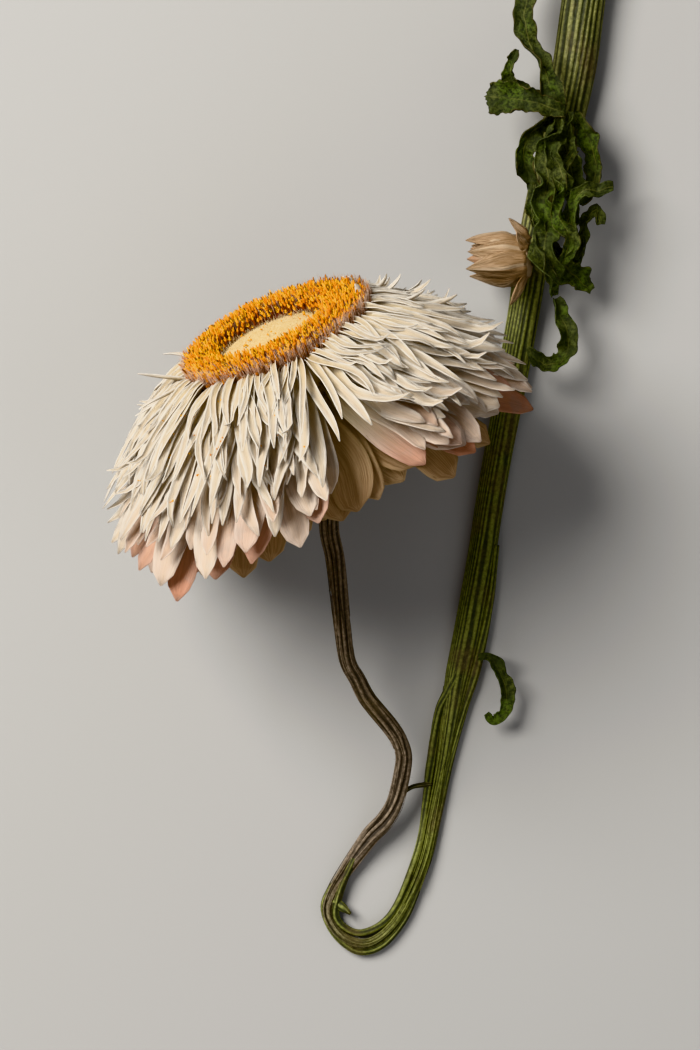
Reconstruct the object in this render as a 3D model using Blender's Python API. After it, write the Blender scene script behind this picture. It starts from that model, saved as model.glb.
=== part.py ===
"""A dried strawflower, cut, lying on a table: head, looped stem, side bud and crinkled leaves.

+Y runs along the stem towards its cut end, +Z is up from the table, and the origin is on the table
under the middle of the plant. Lengths are in millimetres and are turned to metres in solid().
The head is built about its own axis: h is the height out of the disc, r the distance from the axis
and turn the angle round it, with 0 on the right, 90 on top and 270 on the table side.
"""
import math
import random

import bpy
import numpy as np

MM = 0.001
GAP = 0.3                       # kept between pieces that touch
MIDDLE = (3.15, 14.9)           # what the routes below are shifted by to put the origin in the middle

# The head
DISC_CENTRE = (-9.4, 24.0, 28.9)
AXIS_TILT = 25.0                # degrees that the head's axis leans left of +Y
AXIS_RISE = 20.0                # degrees that it rises from the table
RING_RADIUS = 12.9              # florets, outside
RING_HOLE = 7.3                 # where the pale middle starts
RING_HEIGHT = 3.7
HOLE_SHIFT = -0.7               # the middle lies this far to the right of the axis
CENTRE_HEIGHT = 2.4
SEAT_RADIUS = 11.4              # top of the seat that the white bracts grow from
SEAT_DEPTH = 5.0
LOWER_SEAT_DEPTH = 10.6         # where the stalk joins
BRACT_THICKNESS = 0.7
LEFT_SPREAD = 3.0               # degrees that bracts on the left lie further from the stalk
TABLE_SIDE_SQUEEZE = 10.0       # degrees that bracts pressed on the table lie closer to the stalk
PRESSED_HEIGHT = 0.1            # of the lowest point of a bract that the table bends
SHORTEST_TURN = 77.0            # where the bracts are shortest, in front, and by what share
FRONT_SHORTER = 0.24

# Rows of bracts from the disc outwards: how many, h and r of the roots, the angle of the blades to
# the head's axis, length, half width, and 1 where the tips are round
WHITE_ROWS = (
    (24, -0.8, 11.0, 60.0, 20.0, 1.2, 0),
    (26, -1.8, 10.7, 57.0, 25.0, 1.45, 0),
    (24, -2.9, 10.0, 53.0, 27.5, 1.8, 0),
    (20, -4.1, 9.0, 48.0, 29.0, 2.5, 1),
)
TAN_ROWS = (
    (12, -6.6, 6.4, 38.5, 24.5, 2.7, 1),
    (8, -8.2, 5.0, 33.0, 16.0, 2.4, 1),
)
# Bracts that stand out from the rest, by turn: angle to the axis, length
STRAYS = ((178, 84, 13), (190, 76, 12), (206, 66, 14), (8, 112, 8), (16, 98, 10), (332, 74, 16))

# The stem: x, y, height of the middle, half width, half height, from the cut end to the stalk. It
# goes on into the head along the head's axis
STEM = (
    (35.3, 89.4, 2.20, 3.00, 2.80), (34.0, 81.6, 2.15, 2.95, 2.75), (32.6, 73.2, 2.10, 2.95, 2.70),
    (31.4, 64.9, 2.10, 3.00, 2.70), (30.1, 57.9, 1.95, 2.80, 2.50), (28.3, 50.2, 1.88, 2.60, 2.40),
    (26.8, 43.3, 1.80, 2.50, 2.30), (25.4, 37.0, 1.70, 2.30, 2.20), (24.4, 30.7, 1.62, 2.15, 2.10),
    (23.3, 24.4, 1.48, 2.10, 1.90), (22.1, 17.5, 1.32, 2.00, 1.70), (20.7, 9.8, 1.16, 1.90, 1.50),
    (19.4, 2.1, 1.08, 1.90, 1.40), (18.3, -4.9, 1.00, 1.90, 1.30), (16.2, -16.1, 0.93, 1.90, 1.20),
    (15.0, -21.7, 0.90, 1.70, 1.10), (13.8, -28.7, 0.90, 1.10, 1.00), (12.9, -34.0, 0.88, 0.80, 0.90),
    (11.6, -40.7, 0.80, 0.70, 0.80), (10.6, -45.9, 0.80, 0.70, 0.75), (9.0, -50.6, 0.80, 0.70, 0.75),
    (6.9, -54.8, 0.80, 0.70, 0.75), (4.3, -57.6, 0.80, 0.70, 0.75), (1.7, -58.6, 0.80, 0.70, 0.75),
    (-1.1, -57.6, 0.80, 0.65, 0.75), (-2.9, -55.2, 0.80, 0.65, 0.75), (-3.2, -53.1, 0.80, 0.65, 0.75),
    (-2.2, -50.6, 0.90, 0.65, 0.75), (-0.8, -48.5, 1.10, 0.80, 0.80), (1.1, -45.7, 1.40, 0.95, 0.90),
    (2.8, -43.3, 1.90, 1.10, 1.00), (4.9, -41.0, 2.50, 1.15, 1.10), (6.4, -38.1, 3.40, 1.10, 1.10),
    (7.4, -32.9, 5.50, 1.05, 1.10), (6.9, -30.2, 6.70, 1.00, 1.10), (5.5, -27.8, 8.00, 1.00, 1.10),
    (2.5, -24.1, 9.9, 1.00, 1.10), (1.0, -21.3, 11.2, 1.00, 1.10), (-0.4, -18.5, 12.3, 1.00, 1.10),
    (-1.1, -12.9, 14.5, 1.05, 1.10), (-2.0, -4.7, 17.4, 1.10, 1.10), (-2.8, -0.7, 18.8, 1.15, 1.15),
    (-2.9, 5.0, 21.0, 1.20, 1.20),
)
STALK_TOP = ((15.4, 1.35), (10.95, 1.6))    # depth below the disc and half width
STRAND_LEFT = (
    (15.8, -18.9, 1.2, 0.70, 0.80), (13.7, -23.3, 1.1, 0.70, 0.80), (12.3, -26.6, 0.9, 0.60, 0.70),
    (11.2, -34.0, 0.8, 0.60, 0.70), (10.6, -38.7, 0.8, 0.50, 0.60), (9.8, -44.3, 0.8, 0.50, 0.60),
    (8.1, -49.6, 0.8, 0.50, 0.60), (6.3, -53.6, 0.8, 0.50, 0.60), (4.2, -55.9, 0.9, 0.50, 0.60),
    (1.4, -57.0, 0.9, 0.50, 0.60), (-0.8, -56.2, 1.0, 0.50, 0.60), (-2.0, -54.6, 1.1, 0.50, 0.60),
    (-1.7, -52.4, 1.2, 0.50, 0.60), (-0.8, -49.6, 1.4, 0.50, 0.60), (0.6, -46.5, 1.7, 0.50, 0.60),
)
STRAND_RIGHT = (
    (20.4, -2.8, 1.5, 0.45, 0.50), (19.6, -10.5, 1.3, 0.50, 0.60), (17.7, -20.0, 1.1, 0.60, 0.70),
    (16.0, -25.7, 0.9, 0.50, 0.60), (14.1, -32.7, 0.8, 0.45, 0.60), (12.8, -38.7, 0.7, 0.45, 0.60),
    (11.3, -45.7, 0.7, 0.45, 0.60), (9.8, -49.9, 0.7, 0.45, 0.60), (7.8, -54.8, 0.7, 0.45, 0.60),
    (5.0, -58.4, 0.7, 0.45, 0.60), (2.2, -59.7, 0.7, 0.45, 0.60), (-0.1, -59.1, 0.7, 0.45, 0.60),
    (-2.5, -56.8, 0.7, 0.45, 0.60), (-3.7, -53.8, 0.7, 0.45, 0.60), (-3.1, -51.4, 0.8, 0.45, 0.60),
    (-1.1, -48.8, 1.1, 0.50, 0.60),
)
TWIG = ((6.2, -38.0, 3.2, 0.35, 0.35), (8.1, -36.8, 2.9, 0.32, 0.32), (9.2, -36.4, 2.2, 0.32, 0.32),
        (11.4, -36.2, 0.9, 0.40, 0.40))
TORN_TIP = ((-2.3, -52.6, 1.0, 0.7, 0.5), (-1.0, -53.4, 1.4, 0.6, 0.4), (0.1, -54.3, 1.7, 0.2, 0.3))
BUD_BRANCH = ((26.2, 35.6, 2.0, 1.1, 1.1), (25.7, 36.4, 5.0, 0.95, 0.95), (25.6, 36.8, 7.2, 0.9, 0.9))

# The bud: where its base and its tip are, and its rows of bracts: how many, how far along the bud
# they grow, length, half width, splay in degrees
BUD_BASE = (24.8, 36.9, 8.2)
BUD_TIP = (16.2, 36.7, 6.4)
BUD_RADIUS = 3.2
BUD_ROWS = ((5, 0.3, 9.2, 2.3, 8.0), (5, 0.6, 7.6, 1.9, 2.0))
BUD_STRAYS = ((168, 0.4, 5.0, 1.1, 70.0), (8, 0.2, 4.2, 1.6, 52.0))

# The leaves: x, y, height, half width, roll of the face from level in degrees, and fold of its halves
LEAF_THICKNESS = 0.62
LEAF_WAVE = 0.2                 # of a leaf's edges, as a share of its half width
CLUSTER_WAVE = 0.35
LEAF_TOP = (
    (29.4, 57.9, 7.2, 0.9, 15, 10), (27.6, 60.6, 8.0, 1.8, 5, 10), (26.7, 63.0, 8.0, 1.4, -40, 25),
    (25.0, 66.2, 7.4, 1.5, -30, 20), (24.2, 69.8, 7.0, 1.7, 5, 15), (24.7, 73.6, 6.6, 1.6, 20, 15),
    (25.6, 77.2, 6.0, 1.1, 30, 20), (26.4, 80.0, 5.5, 0.5, 30, 20),
)
LEAF_LEFT = (
    (29.6, 57.0, 8.2, 0.8, 0, 25), (26.9, 57.8, 9.2, 1.5, -8, 18), (24.2, 58.5, 9.5, 2.1, -6, 14),
    (21.6, 58.9, 9.2, 2.4, 4, 12), (19.2, 59.1, 8.8, 2.3, 10, 10),
)
LEAF_LEFT_BACK = (
    (27.2, 59.2, 5.8, 0.7, 20, 10), (24.8, 60.2, 5.4, 0.9, 20, 15), (22.6, 61.4, 5.6, 1.1, 25, 20),
    (22.3, 63.0, 6.6, 1.3, 30, 30), (22.8, 64.6, 7.4, 0.9, 30, 30), (23.1, 65.7, 7.8, 0.4, 30, 30),
)
CLUSTER = {
    "front": (
        (30.2, 57.2, 6.6, 0.8, 0, 20), (28.6, 54.4, 8.2, 1.4, 35, 25), (27.4, 51.0, 9.0, 2.2, -15, 20),
        (27.8, 46.8, 9.2, 2.5, 10, 15), (27.8, 42.4, 9.6, 2.7, -20, 20), (27.0, 38.4, 10.4, 2.4, 15, 20),
        (26.7, 34.8, 9.2, 1.8, 40, 25), (28.0, 31.8, 7.6, 0.8, 20, 20),
    ),
    "left": (
        (28.6, 56.2, 6.4, 0.8, 10, 20), (25.8, 54.8, 7.4, 1.5, 25, 20), (24.0, 52.4, 7.6, 1.9, 30, 25),
        (24.0, 49.9, 7.2, 1.7, 10, 25), (25.2, 47.4, 7.0, 1.1, -20, 15), (25.3, 44.4, 6.6, 0.9, -10, 10),
        (25.9, 41.4, 6.2, 0.8, 0, 10),
    ),
    "middle": (
        (29.6, 56.8, 6.4, 0.9, 0, 15), (29.6, 53.6, 7.0, 1.7, -20, 20), (30.4, 50.0, 7.2, 2.0, -10, 15),
        (30.8, 46.4, 7.4, 1.8, 15, 20), (30.2, 43.0, 7.2, 1.4, 25, 25), (29.4, 40.2, 6.8, 0.8, 10, 20),
    ),
    "right": (
        (31.0, 57.2, 4.8, 0.8, -20, 15), (32.6, 55.0, 5.2, 1.6, -30, 15), (33.8, 52.2, 5.2, 1.8, -40, 20),
        (34.0, 49.2, 5.2, 1.5, -20, 25), (33.2, 46.6, 5.6, 1.1, 10, 20), (31.6, 44.6, 6.4, 0.8, 10, 10),
    ),
    "ribbon": (
        (28.3, 36.0, 7.2, 0.8, 10, 10), (30.2, 37.6, 8.6, 1.0, 40, 15), (30.9, 40.8, 9.6, 0.9, 50, 15),
        (30.8, 43.8, 9.8, 0.9, 45, 15), (32.0, 45.8, 9.8, 1.0, 10, 15), (34.2, 46.2, 9.4, 1.1, -10, 15),
        (36.2, 46.8, 9.0, 0.5, 0, 10),
    ),
    "curl": (
        (29.6, 35.2, 5.2, 0.8, 10, 10), (31.8, 37.2, 6.0, 1.0, 30, 15), (32.3, 39.8, 6.6, 0.9, 40, 15),
        (32.6, 42.0, 6.8, 0.9, 40, 15), (34.2, 43.8, 6.8, 0.9, 20, 15), (34.6, 41.6, 6.6, 0.6, 20, 15),
    ),
    "lower": (
        (27.2, 39.0, 7.4, 1.0, 0, 15), (29.0, 36.8, 7.0, 2.0, -25, 20), (30.8, 34.8, 6.2, 2.2, 10, 20),
        (32.3, 33.4, 5.6, 1.6, 30, 20), (33.4, 32.4, 5.2, 0.5, 20, 20),
    ),
}
LEAF_HANGING = (
    (28.6, 31.6, 4.6, 0.7, 20, 15), (29.1, 29.4, 5.0, 1.3, 25, 20), (30.0, 27.0, 5.2, 1.7, 20, 30),
    (30.4, 24.8, 5.0, 1.7, -15, 30), (29.4, 22.6, 4.8, 1.4, -40, 25), (27.4, 22.2, 5.0, 1.3, -20, 20),
    (25.6, 23.4, 5.8, 1.1, 10, 15), (24.6, 24.6, 6.2, 0.4, 10, 10),
)
LEAF_SMALL = (
    (17.9, -18.4, 2.9, 0.5, 0, 15), (19.6, -18.6, 3.4, 0.8, 20, 20), (21.0, -21.0, 3.4, 1.2, 30, 25),
    (21.8, -23.8, 3.2, 1.2, 15, 25), (21.6, -26.4, 3.0, 1.0, -20, 20), (20.0, -27.4, 3.0, 0.9, -30, 15),
    (19.0, -26.2, 3.4, 0.5, -20, 10),
)


def unit(vector):
    return vector / np.linalg.norm(vector)


def from_angles(tilt, rise):
    """The direction this far left of +Y and this far up from the table, in degrees."""
    tilt, rise = math.radians(tilt), math.radians(rise)
    return np.array((-math.sin(tilt) * math.cos(rise), math.cos(tilt) * math.cos(rise), math.sin(rise)))


UP = np.array((0.0, 0.0, 1.0))
AXIS = from_angles(AXIS_TILT, AXIS_RISE)
RIGHT = unit(np.cross(AXIS, UP))
TOP = np.cross(RIGHT, AXIS)
CENTRE = np.array(DISC_CENTRE)


def out_of_axis(turn):
    """The direction away from the head's axis at this turn, in degrees."""
    angle = math.radians(turn)
    return math.cos(angle) * RIGHT + math.sin(angle) * TOP


def through(rows, count):
    """A smooth curve through the rows, read at places evenly spaced along its length."""
    rows = np.array(rows, float)
    ends = np.vstack([2 * rows[0] - rows[1], rows, 2 * rows[-1] - rows[-2]])
    fine = []
    for p0, p1, p2, p3 in zip(ends, ends[1:], ends[2:], ends[3:]):
        for t in np.arange(0, 1, 0.1):
            bend = 2 * p0 - 5 * p1 + 4 * p2 - p3
            turn = 3 * p1 - p0 - 3 * p2 + p3
            fine.append(p1 + 0.5 * ((p2 - p0) * t + bend * t ** 2 + turn * t ** 3))
    fine = np.array(fine + [rows[-1]])
    run = np.append(0, np.cumsum(np.linalg.norm(np.diff(fine[:, :3], axis=0), axis=1)))
    places = np.linspace(0, run[-1], count)
    return np.array([np.interp(places, run, column) for column in fine.T]).T


def material(name, colour, roughness):
    made = bpy.data.materials.new(name)
    made.use_nodes = True
    shader = made.node_tree.nodes["Principled BSDF"]
    shader.inputs["Base Color"].default_value = (*colour, 1)
    shader.inputs["Roughness"].default_value = roughness
    shader.inputs["Metallic"].default_value = 0.0
    made.diffuse_color = (*colour, 1)
    return made


def solid(name, points, faces, finish=None):
    """An object from points in millimetres, with its faces turned outwards and the origin under the
    plant's middle."""
    mesh = bpy.data.meshes.new(name)
    placed = (np.array(points) - (*MIDDLE, 0)) * MM
    faces = np.array(faces)
    if np.linalg.det(placed[faces] - placed[0]).sum() < 0:
        faces = faces[:, ::-1]
    mesh.from_pydata(placed.tolist(), [], faces.tolist())
    made = bpy.data.objects.new(name, mesh)
    bpy.context.scene.collection.objects.link(made)
    if finish:
        mesh.materials.append(finish)
    return made


def ring_faces(rings, sides):
    """Triangles between rings of the same number of points, which follow each other in one list."""
    faces = []
    for ring in range(rings - 1):
        for side in range(sides):
            a = ring * sides + side
            b = ring * sides + (side + 1) % sides
            faces += [(a, b, b + sides), (a, b + sides, a + sides)]
    return faces


def tube(name, route, count, sides, ribs=0.0, grow=0.0):
    """A stem along a route. Every second side stands out as a rib, and it lies flat on the table."""
    line = through(route, count)
    along = np.gradient(line[:, :3], axis=0)
    points = []
    for (x, y, z, half_width, half_height), step in zip(line, along):
        across = unit(np.cross(step, UP))
        over = unit(np.cross(across, step))
        for side in range(sides):
            angle = 2 * math.pi * side / sides
            rib = 1 + ribs * (1 if side % 2 else -1)
            sideways = across * math.cos(angle) * (half_width * rib + grow)
            upwards = over * math.sin(angle) * (half_height * rib + grow)
            point = np.array((x, y, z)) + sideways + upwards
            point[2] = point[2] if grow else max(point[2], 0)
            points.append(point)
    faces = ring_faces(count, sides)
    last = (count - 1) * sides
    faces += [(0, side + 1, side) for side in range(1, sides - 1)]
    faces += [(last, last + side, last + side + 1) for side in range(1, sides - 1)]
    return solid(name, points, faces)


def off_table(points):
    """The points, raised together so that none is lower than bracts lie on the table."""
    lowest = min(point[2] for point in points)
    return [point + UP * max(0.0, PRESSED_HEIGHT - lowest) for point in points]


def blade(name, line, across, out, half_width, round_tip=0, cup=0.35):
    """A bract. line holds its points from root to tip, and across and out its directions there."""
    thickness = BRACT_THICKNESS
    widths = np.array(((0.7, 0.95, 1.0, 0.55), (0.5, 0.82, 1.0, 0.86))[round_tip]) * half_width
    points = []
    for place, side, face, wide in zip(line[:-1], across, out, widths):
        rise = face * wide * cup
        edges = place - side * wide + rise, place + side * wide + rise
        points += off_table((edges[0], place, edges[1], place - face * thickness))
    points += off_table((line[-1],))
    faces = ring_faces(len(widths), 4)
    tip = len(points) - 1
    last = tip - 4
    faces += [(last + side, last + (side + 1) % 4, tip) for side in range(4)]
    faces += [(0, 3, 1), (1, 3, 2)]
    return solid(name, points, faces)


def turned(profile, sides, lift=None, shift=0.0):
    """Rings of points turned round the head's axis from (r, h) points. lift(ring, side) raises a point
    off the surface, and shift moves each point to the right by itself times its share of the middle."""
    rings = len(profile)
    points = []
    for ring, (radius, height) in enumerate(profile):
        before, after = profile[ring - 1], profile[(ring + 1) % rings]
        slope = unit(np.array((after[1] - before[1], before[0] - after[0])))
        for side in range(sides):
            rise = lift(ring, side) if lift else 0.0
            place = out_of_axis(360 * side / sides) * (radius + slope[0] * rise)
            aside = RIGHT * shift * np.clip((RING_RADIUS - radius) / (RING_RADIUS - RING_HOLE), 0, 1)
            points.append(CENTRE + place + aside + AXIS * (height + slope[1] * rise))
    return points


def apply_modifiers(body):
    """Gives the object the mesh that its modifiers make, and keeps its outer skin alone."""
    graph = bpy.context.evaluated_depsgraph_get()
    made = bpy.data.meshes.new_from_object(body.evaluated_get(graph))
    old = body.data
    body.modifiers.clear()
    body.data = made
    made.name = body.name
    bpy.data.meshes.remove(old)


def keep_largest_skin(body):
    """Drops closed skins other than the largest: hollows that fusing sealed, and loose scraps."""
    mesh = body.data
    mesh.calc_loop_triangles()
    points = np.empty(len(mesh.vertices) * 3)
    mesh.vertices.foreach_get("co", points)
    points = points.reshape(-1, 3)
    label = np.arange(len(points))
    edges = np.array([edge.vertices[:] for edge in mesh.edges])
    while True:
        lowest = np.minimum(label[edges[:, 0]], label[edges[:, 1]])
        before = label.copy()
        np.minimum.at(label, edges[:, 0], lowest)
        np.minimum.at(label, edges[:, 1], lowest)
        label = label[label]
        if (label == before).all():
            break
    triangles = np.array([triangle.vertices[:] for triangle in mesh.loop_triangles])
    volumes = np.linalg.det(points[triangles])
    skins = label[triangles[:, 0]]
    names = np.unique(skins)
    largest = max(names, key=lambda skin: volumes[skins == skin].sum())
    kept = triangles[skins == largest]
    used, index = np.unique(kept, return_inverse=True)
    fresh = bpy.data.meshes.new(body.name)
    fresh.from_pydata(points[used].tolist(), [], index.reshape(-1, 3).tolist())
    for slot in mesh.materials:
        fresh.materials.append(slot)
    body.data = fresh
    bpy.data.meshes.remove(mesh)


def combine(body, others, operation, solver="EXACT"):
    """Joins the others to the body, or cuts them from it, in one Boolean, then removes them."""
    group = bpy.data.collections.new(body.name + "_pieces")
    bpy.context.scene.collection.children.link(group)
    for other in others:
        bpy.context.scene.collection.objects.unlink(other)
        group.objects.link(other)
    step = body.modifiers.new("combine", "BOOLEAN")
    step.operation = operation
    step.operand_type = "COLLECTION"
    step.collection = group
    step.solver = solver
    bpy.context.view_layer.update()
    apply_modifiers(body)
    keep_largest_skin(body)
    for other in others:
        bpy.data.objects.remove(other)
    bpy.data.collections.remove(group)


def finish_node(body, finish):
    body.data.materials.clear()
    body.data.materials.append(finish)
    return body


def bract_on_head(rng, turn, row, loose):
    """One bract of the head, from its root on the seat out to its tip."""
    root_height, root_radius, angle, length, half_width, round_tip = row
    table_side = max(0.0, -math.sin(math.radians(turn))) ** 1.5
    angle -= LEFT_SPREAD * math.cos(math.radians(turn)) + TABLE_SIDE_SQUEEZE * table_side
    start = math.radians(angle + 5 + rng.uniform(-1.5, 1.5) * loose)
    end = math.radians(angle - 5 + rng.uniform(-4, 4) * loose)
    sway = rng.uniform(-9, 9) * loose
    tilt = math.radians(rng.uniform(-22, 22) * loose)
    length *= rng.uniform(0.9, 1.06)
    length *= 1 - FRONT_SHORTER * max(0.0, math.cos(math.radians(turn - SHORTEST_TURN))) ** 1.5
    line, across, out = [], [], []
    radius, height = root_radius - 1.6, root_height + 0.2
    before = 0.0
    for part in (0.0, 0.32, 0.62, 0.86 + 0.05 * round_tip, 1.0):
        lean = start + (end - start) * part
        radius += math.sin(lean) * length * (part - before)
        height -= math.cos(lean) * length * (part - before)
        before = part
        outwards = out_of_axis(turn + sway * part ** 2)
        side = np.cross(AXIS, outwards)
        face = outwards * math.cos(lean) + AXIS * math.sin(lean)
        line.append(CENTRE + outwards * radius + AXIS * height)
        across.append(side * math.cos(tilt) + face * math.sin(tilt))
        out.append(face * math.cos(tilt) - side * math.sin(tilt))
    return blade("bract", line, across, out, half_width, round_tip)


def row_of_bracts(rng, row, first_turn, loose):
    count, *shape = row
    made = []
    for number in range(count):
        turn = first_turn + 360 * (number + rng.uniform(-0.18, 0.18) * loose) / count
        made.append(bract_on_head(rng, turn, shape, loose))
    return made


def seat(name, profile, sides):
    """A solid turned round the head's axis, closed with flat ends."""
    rings = len(profile)
    last = (rings - 1) * sides
    faces = ring_faces(rings, sides)
    faces += [(0, side + 1, side) for side in range(1, sides - 1)]
    faces += [(last, last + side, last + side + 1) for side in range(1, sides - 1)]
    return solid(name, turned(profile, sides), faces)


def make_bracts(finish):
    """The white and pink bracts of the head in four rows, with the strays, on their seat."""
    rng = random.Random(7)
    body = seat("bracts", ((8.2, -SEAT_DEPTH), (10.0, -3.2), (SEAT_RADIUS, -1.2), (SEAT_RADIUS, -GAP)), 24)
    blades = []
    for number, row in enumerate(WHITE_ROWS):
        blades += row_of_bracts(rng, row, 5.0 * number, 1.0)
    for turn, angle, length in STRAYS:
        blades.append(bract_on_head(rng, turn, (-1.3, 11.6, angle, length, 0.8, 0), 0.5))
    combine(body, blades, "UNION")
    return finish_node(body, finish)


def make_outer_bracts(finish):
    """The tan bracts round the stalk, on the lower seat."""
    rng = random.Random(11)
    top = -SEAT_DEPTH - GAP
    body = seat("outer_bracts", ((2.0, -LOWER_SEAT_DEPTH), (4.6, -8.8), (7.0, -6.4), (7.4, top)), 18)
    blades = []
    for number, row in enumerate(TAN_ROWS):
        blades += row_of_bracts(rng, row, 12.0 * number, 0.35)
    combine(body, blades, "UNION")
    return finish_node(body, finish)


def make_disc_florets(finish):
    """The ring of florets: a thick crown with a knob for each floret, raised by a formula."""
    middle = (RING_RADIUS + RING_HOLE) / 2
    half = (RING_RADIUS - RING_HOLE) / 2
    profile = [(RING_HOLE, 0.1), (RING_RADIUS - 1.6, 0.1)]
    for step in range(10):
        angle = math.pi * (0.02 + 0.93 * step / 9)
        profile.append((middle + math.cos(angle) * half, 0.5 + (RING_HEIGHT - 0.5) * math.sin(angle) ** 0.6))

    def knob(ring, side):
        if ring < 2:
            return 0.0
        return 0.5 if ring % 2 == 0 and (side + ring // 2) % 2 else -0.15

    rings, sides = len(profile), 56
    faces = ring_faces(rings, sides)
    last = (rings - 1) * sides
    for side in range(sides):
        after = (side + 1) % sides
        faces += [(last + side, last + after, after), (last + side, after, side)]
    return solid("disc_florets", turned(profile, sides, knob, HOLE_SHIFT), faces, finish)


def make_disc_centre(finish):
    """The pale felted middle, a low mound with small bumps inside the ring."""
    edge = RING_HOLE - GAP
    profile = [(edge, 0.1), (edge, CENTRE_HEIGHT * 0.5)]
    profile += [(edge * part, CENTRE_HEIGHT * (1 - 0.5 * part ** 2)) for part in (0.86, 0.66, 0.46, 0.24)]
    rings, sides = len(profile), 28

    def bump(ring, side):
        return 0.0 if ring < 2 else (0.14 if (side + ring) % 2 else -0.1)

    points = turned(profile, sides, bump, HOLE_SHIFT)
    middle = CENTRE + RIGHT * HOLE_SHIFT
    points += [middle + AXIS * CENTRE_HEIGHT, middle + AXIS * 0.1]
    top, bottom = len(points) - 2, len(points) - 1
    last = (rings - 1) * sides
    faces = ring_faces(rings, sides)
    for side in range(sides):
        after = (side + 1) % sides
        faces += [(last + side, last + after, top), (after, side, bottom)]
    return solid("disc_centre", points, faces, finish)


def make_stem(finish):
    """The stem from its cut end round the loop to the head, with its strands, twig and bud branch."""
    route = list(STEM) + [(*(CENTRE - AXIS * depth), wide, wide) for depth, wide in STALK_TOP]
    body = tube("stem", route, 60, 12, ribs=0.06)
    grown = [
        tube("strand_left", STRAND_LEFT, 22, 6),
        tube("strand_right", STRAND_RIGHT, 26, 6),
        tube("twig", TWIG, 5, 5),
        tube("torn_tip", TORN_TIP, 3, 4),
        tube("bud_branch", BUD_BRANCH, 5, 8),
    ]
    combine(body, grown, "UNION")
    return finish_node(body, finish)


def make_bud(finish, grow=0.0):
    """The closed bud: pointed bracts in two rows on a core, and a stray one on each side."""
    base, tip = np.array(BUD_BASE), np.array(BUD_TIP)
    forwards = unit(tip - base)
    sideways = unit(np.cross(forwards, UP))
    upwards = np.cross(sideways, forwards)
    length = np.linalg.norm(tip - base)

    def around(turn):
        angle = math.radians(turn)
        return math.cos(angle) * sideways + math.sin(angle) * upwards

    sides = 12
    points = []
    profile = ((0.0, 0.6), (0.1, 0.92), (0.3, 1.0), (0.52, 0.9), (0.7, 0.6), (0.82, 0.25))
    for part, wide in profile:
        for side in range(sides):
            reach = around(360 * side / sides) * (BUD_RADIUS * wide + grow)
            points.append(base + forwards * (length * part - grow * (part == 0)) + reach)
    last = (len(profile) - 1) * sides
    faces = ring_faces(len(profile), sides)
    faces += [(0, side + 1, side) for side in range(1, sides - 1)]
    faces += [(last, last + side, last + side + 1) for side in range(1, sides - 1)]
    body = solid("bud", points, faces)
    if grow:
        return body
    rng = random.Random(5)
    growing = []
    for number, (count, along, long, wide, splay) in enumerate(BUD_ROWS):
        for each in range(count):
            turn = 25 * number + 360 * (each + rng.uniform(-0.1, 0.1)) / count
            growing.append((turn, along, long * rng.uniform(0.94, 1.05), wide, splay))
    blades = []
    for turn, along, long, wide, splay in growing + list(BUD_STRAYS):
        outwards = around(turn)
        side = np.cross(forwards, outwards)
        line, across, out = [], [], []
        radius, run, before = BUD_RADIUS * 0.7, along, 0.0
        for part in (0.0, 0.3, 0.6, 0.85, 1.0):
            lean = math.radians(splay + 18 * (1 - part) ** 1.5 - 12 * part)
            radius += math.sin(lean) * long * (part - before)
            run += math.cos(lean) * long * (part - before)
            before = part
            line.append(base + forwards * run + outwards * radius)
            across.append(side)
            out.append(outwards * math.cos(lean) - forwards * math.sin(lean))
        blades.append(blade("bud_bract", line, across, out, wide, cup=-0.35))
    combine(body, blades, "UNION")
    combine(body, [stem_cutter(), tube("branch_room", BUD_BRANCH, 5, 8, grow=GAP)], "DIFFERENCE")
    return finish_node(body, finish)


def leaf(name, rows, count, wave, seed, grow=0.0):
    """A dried leaf: a sheet along a route, rolled, folded along its midrib and waved at its edges."""
    rng = random.Random(seed)
    line = through(rows, count)
    along = np.gradient(line[:, :3], axis=0)
    phases = [rng.uniform(0, 2 * math.pi) for _ in range(2)]
    turns = rng.uniform(2.5, 3.5)
    lanes = (-1.0, -0.5, 0.0, 0.5, 1.0)
    middle = np.empty((count, len(lanes), 3))
    for row, (x, y, z, half_width, roll, fold) in enumerate(line):
        step = unit(along[row])
        level = unit(np.cross(step, UP))
        over = np.cross(level, step)
        roll, fold = math.radians(roll), math.radians(fold)
        across = level * math.cos(roll) + over * math.sin(roll)
        face = over * math.cos(roll) - level * math.sin(roll)
        for lane, part in enumerate(lanes):
            phase = phases[part > 0] + 2 * math.pi * turns * row / (count - 1)
            ruffle = wave * half_width * abs(part) ** 1.5 * math.sin(phase)
            reach = part * (half_width + grow)
            place = across * reach * math.cos(fold) + face * (abs(reach) * math.sin(fold) + ruffle)
            end = (row == count - 1) - (row == 0)
            middle[row, lane] = np.array((x, y, z)) + place + step * end * grow
    return sheet(name, middle, LEAF_THICKNESS + 2 * grow)


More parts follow.
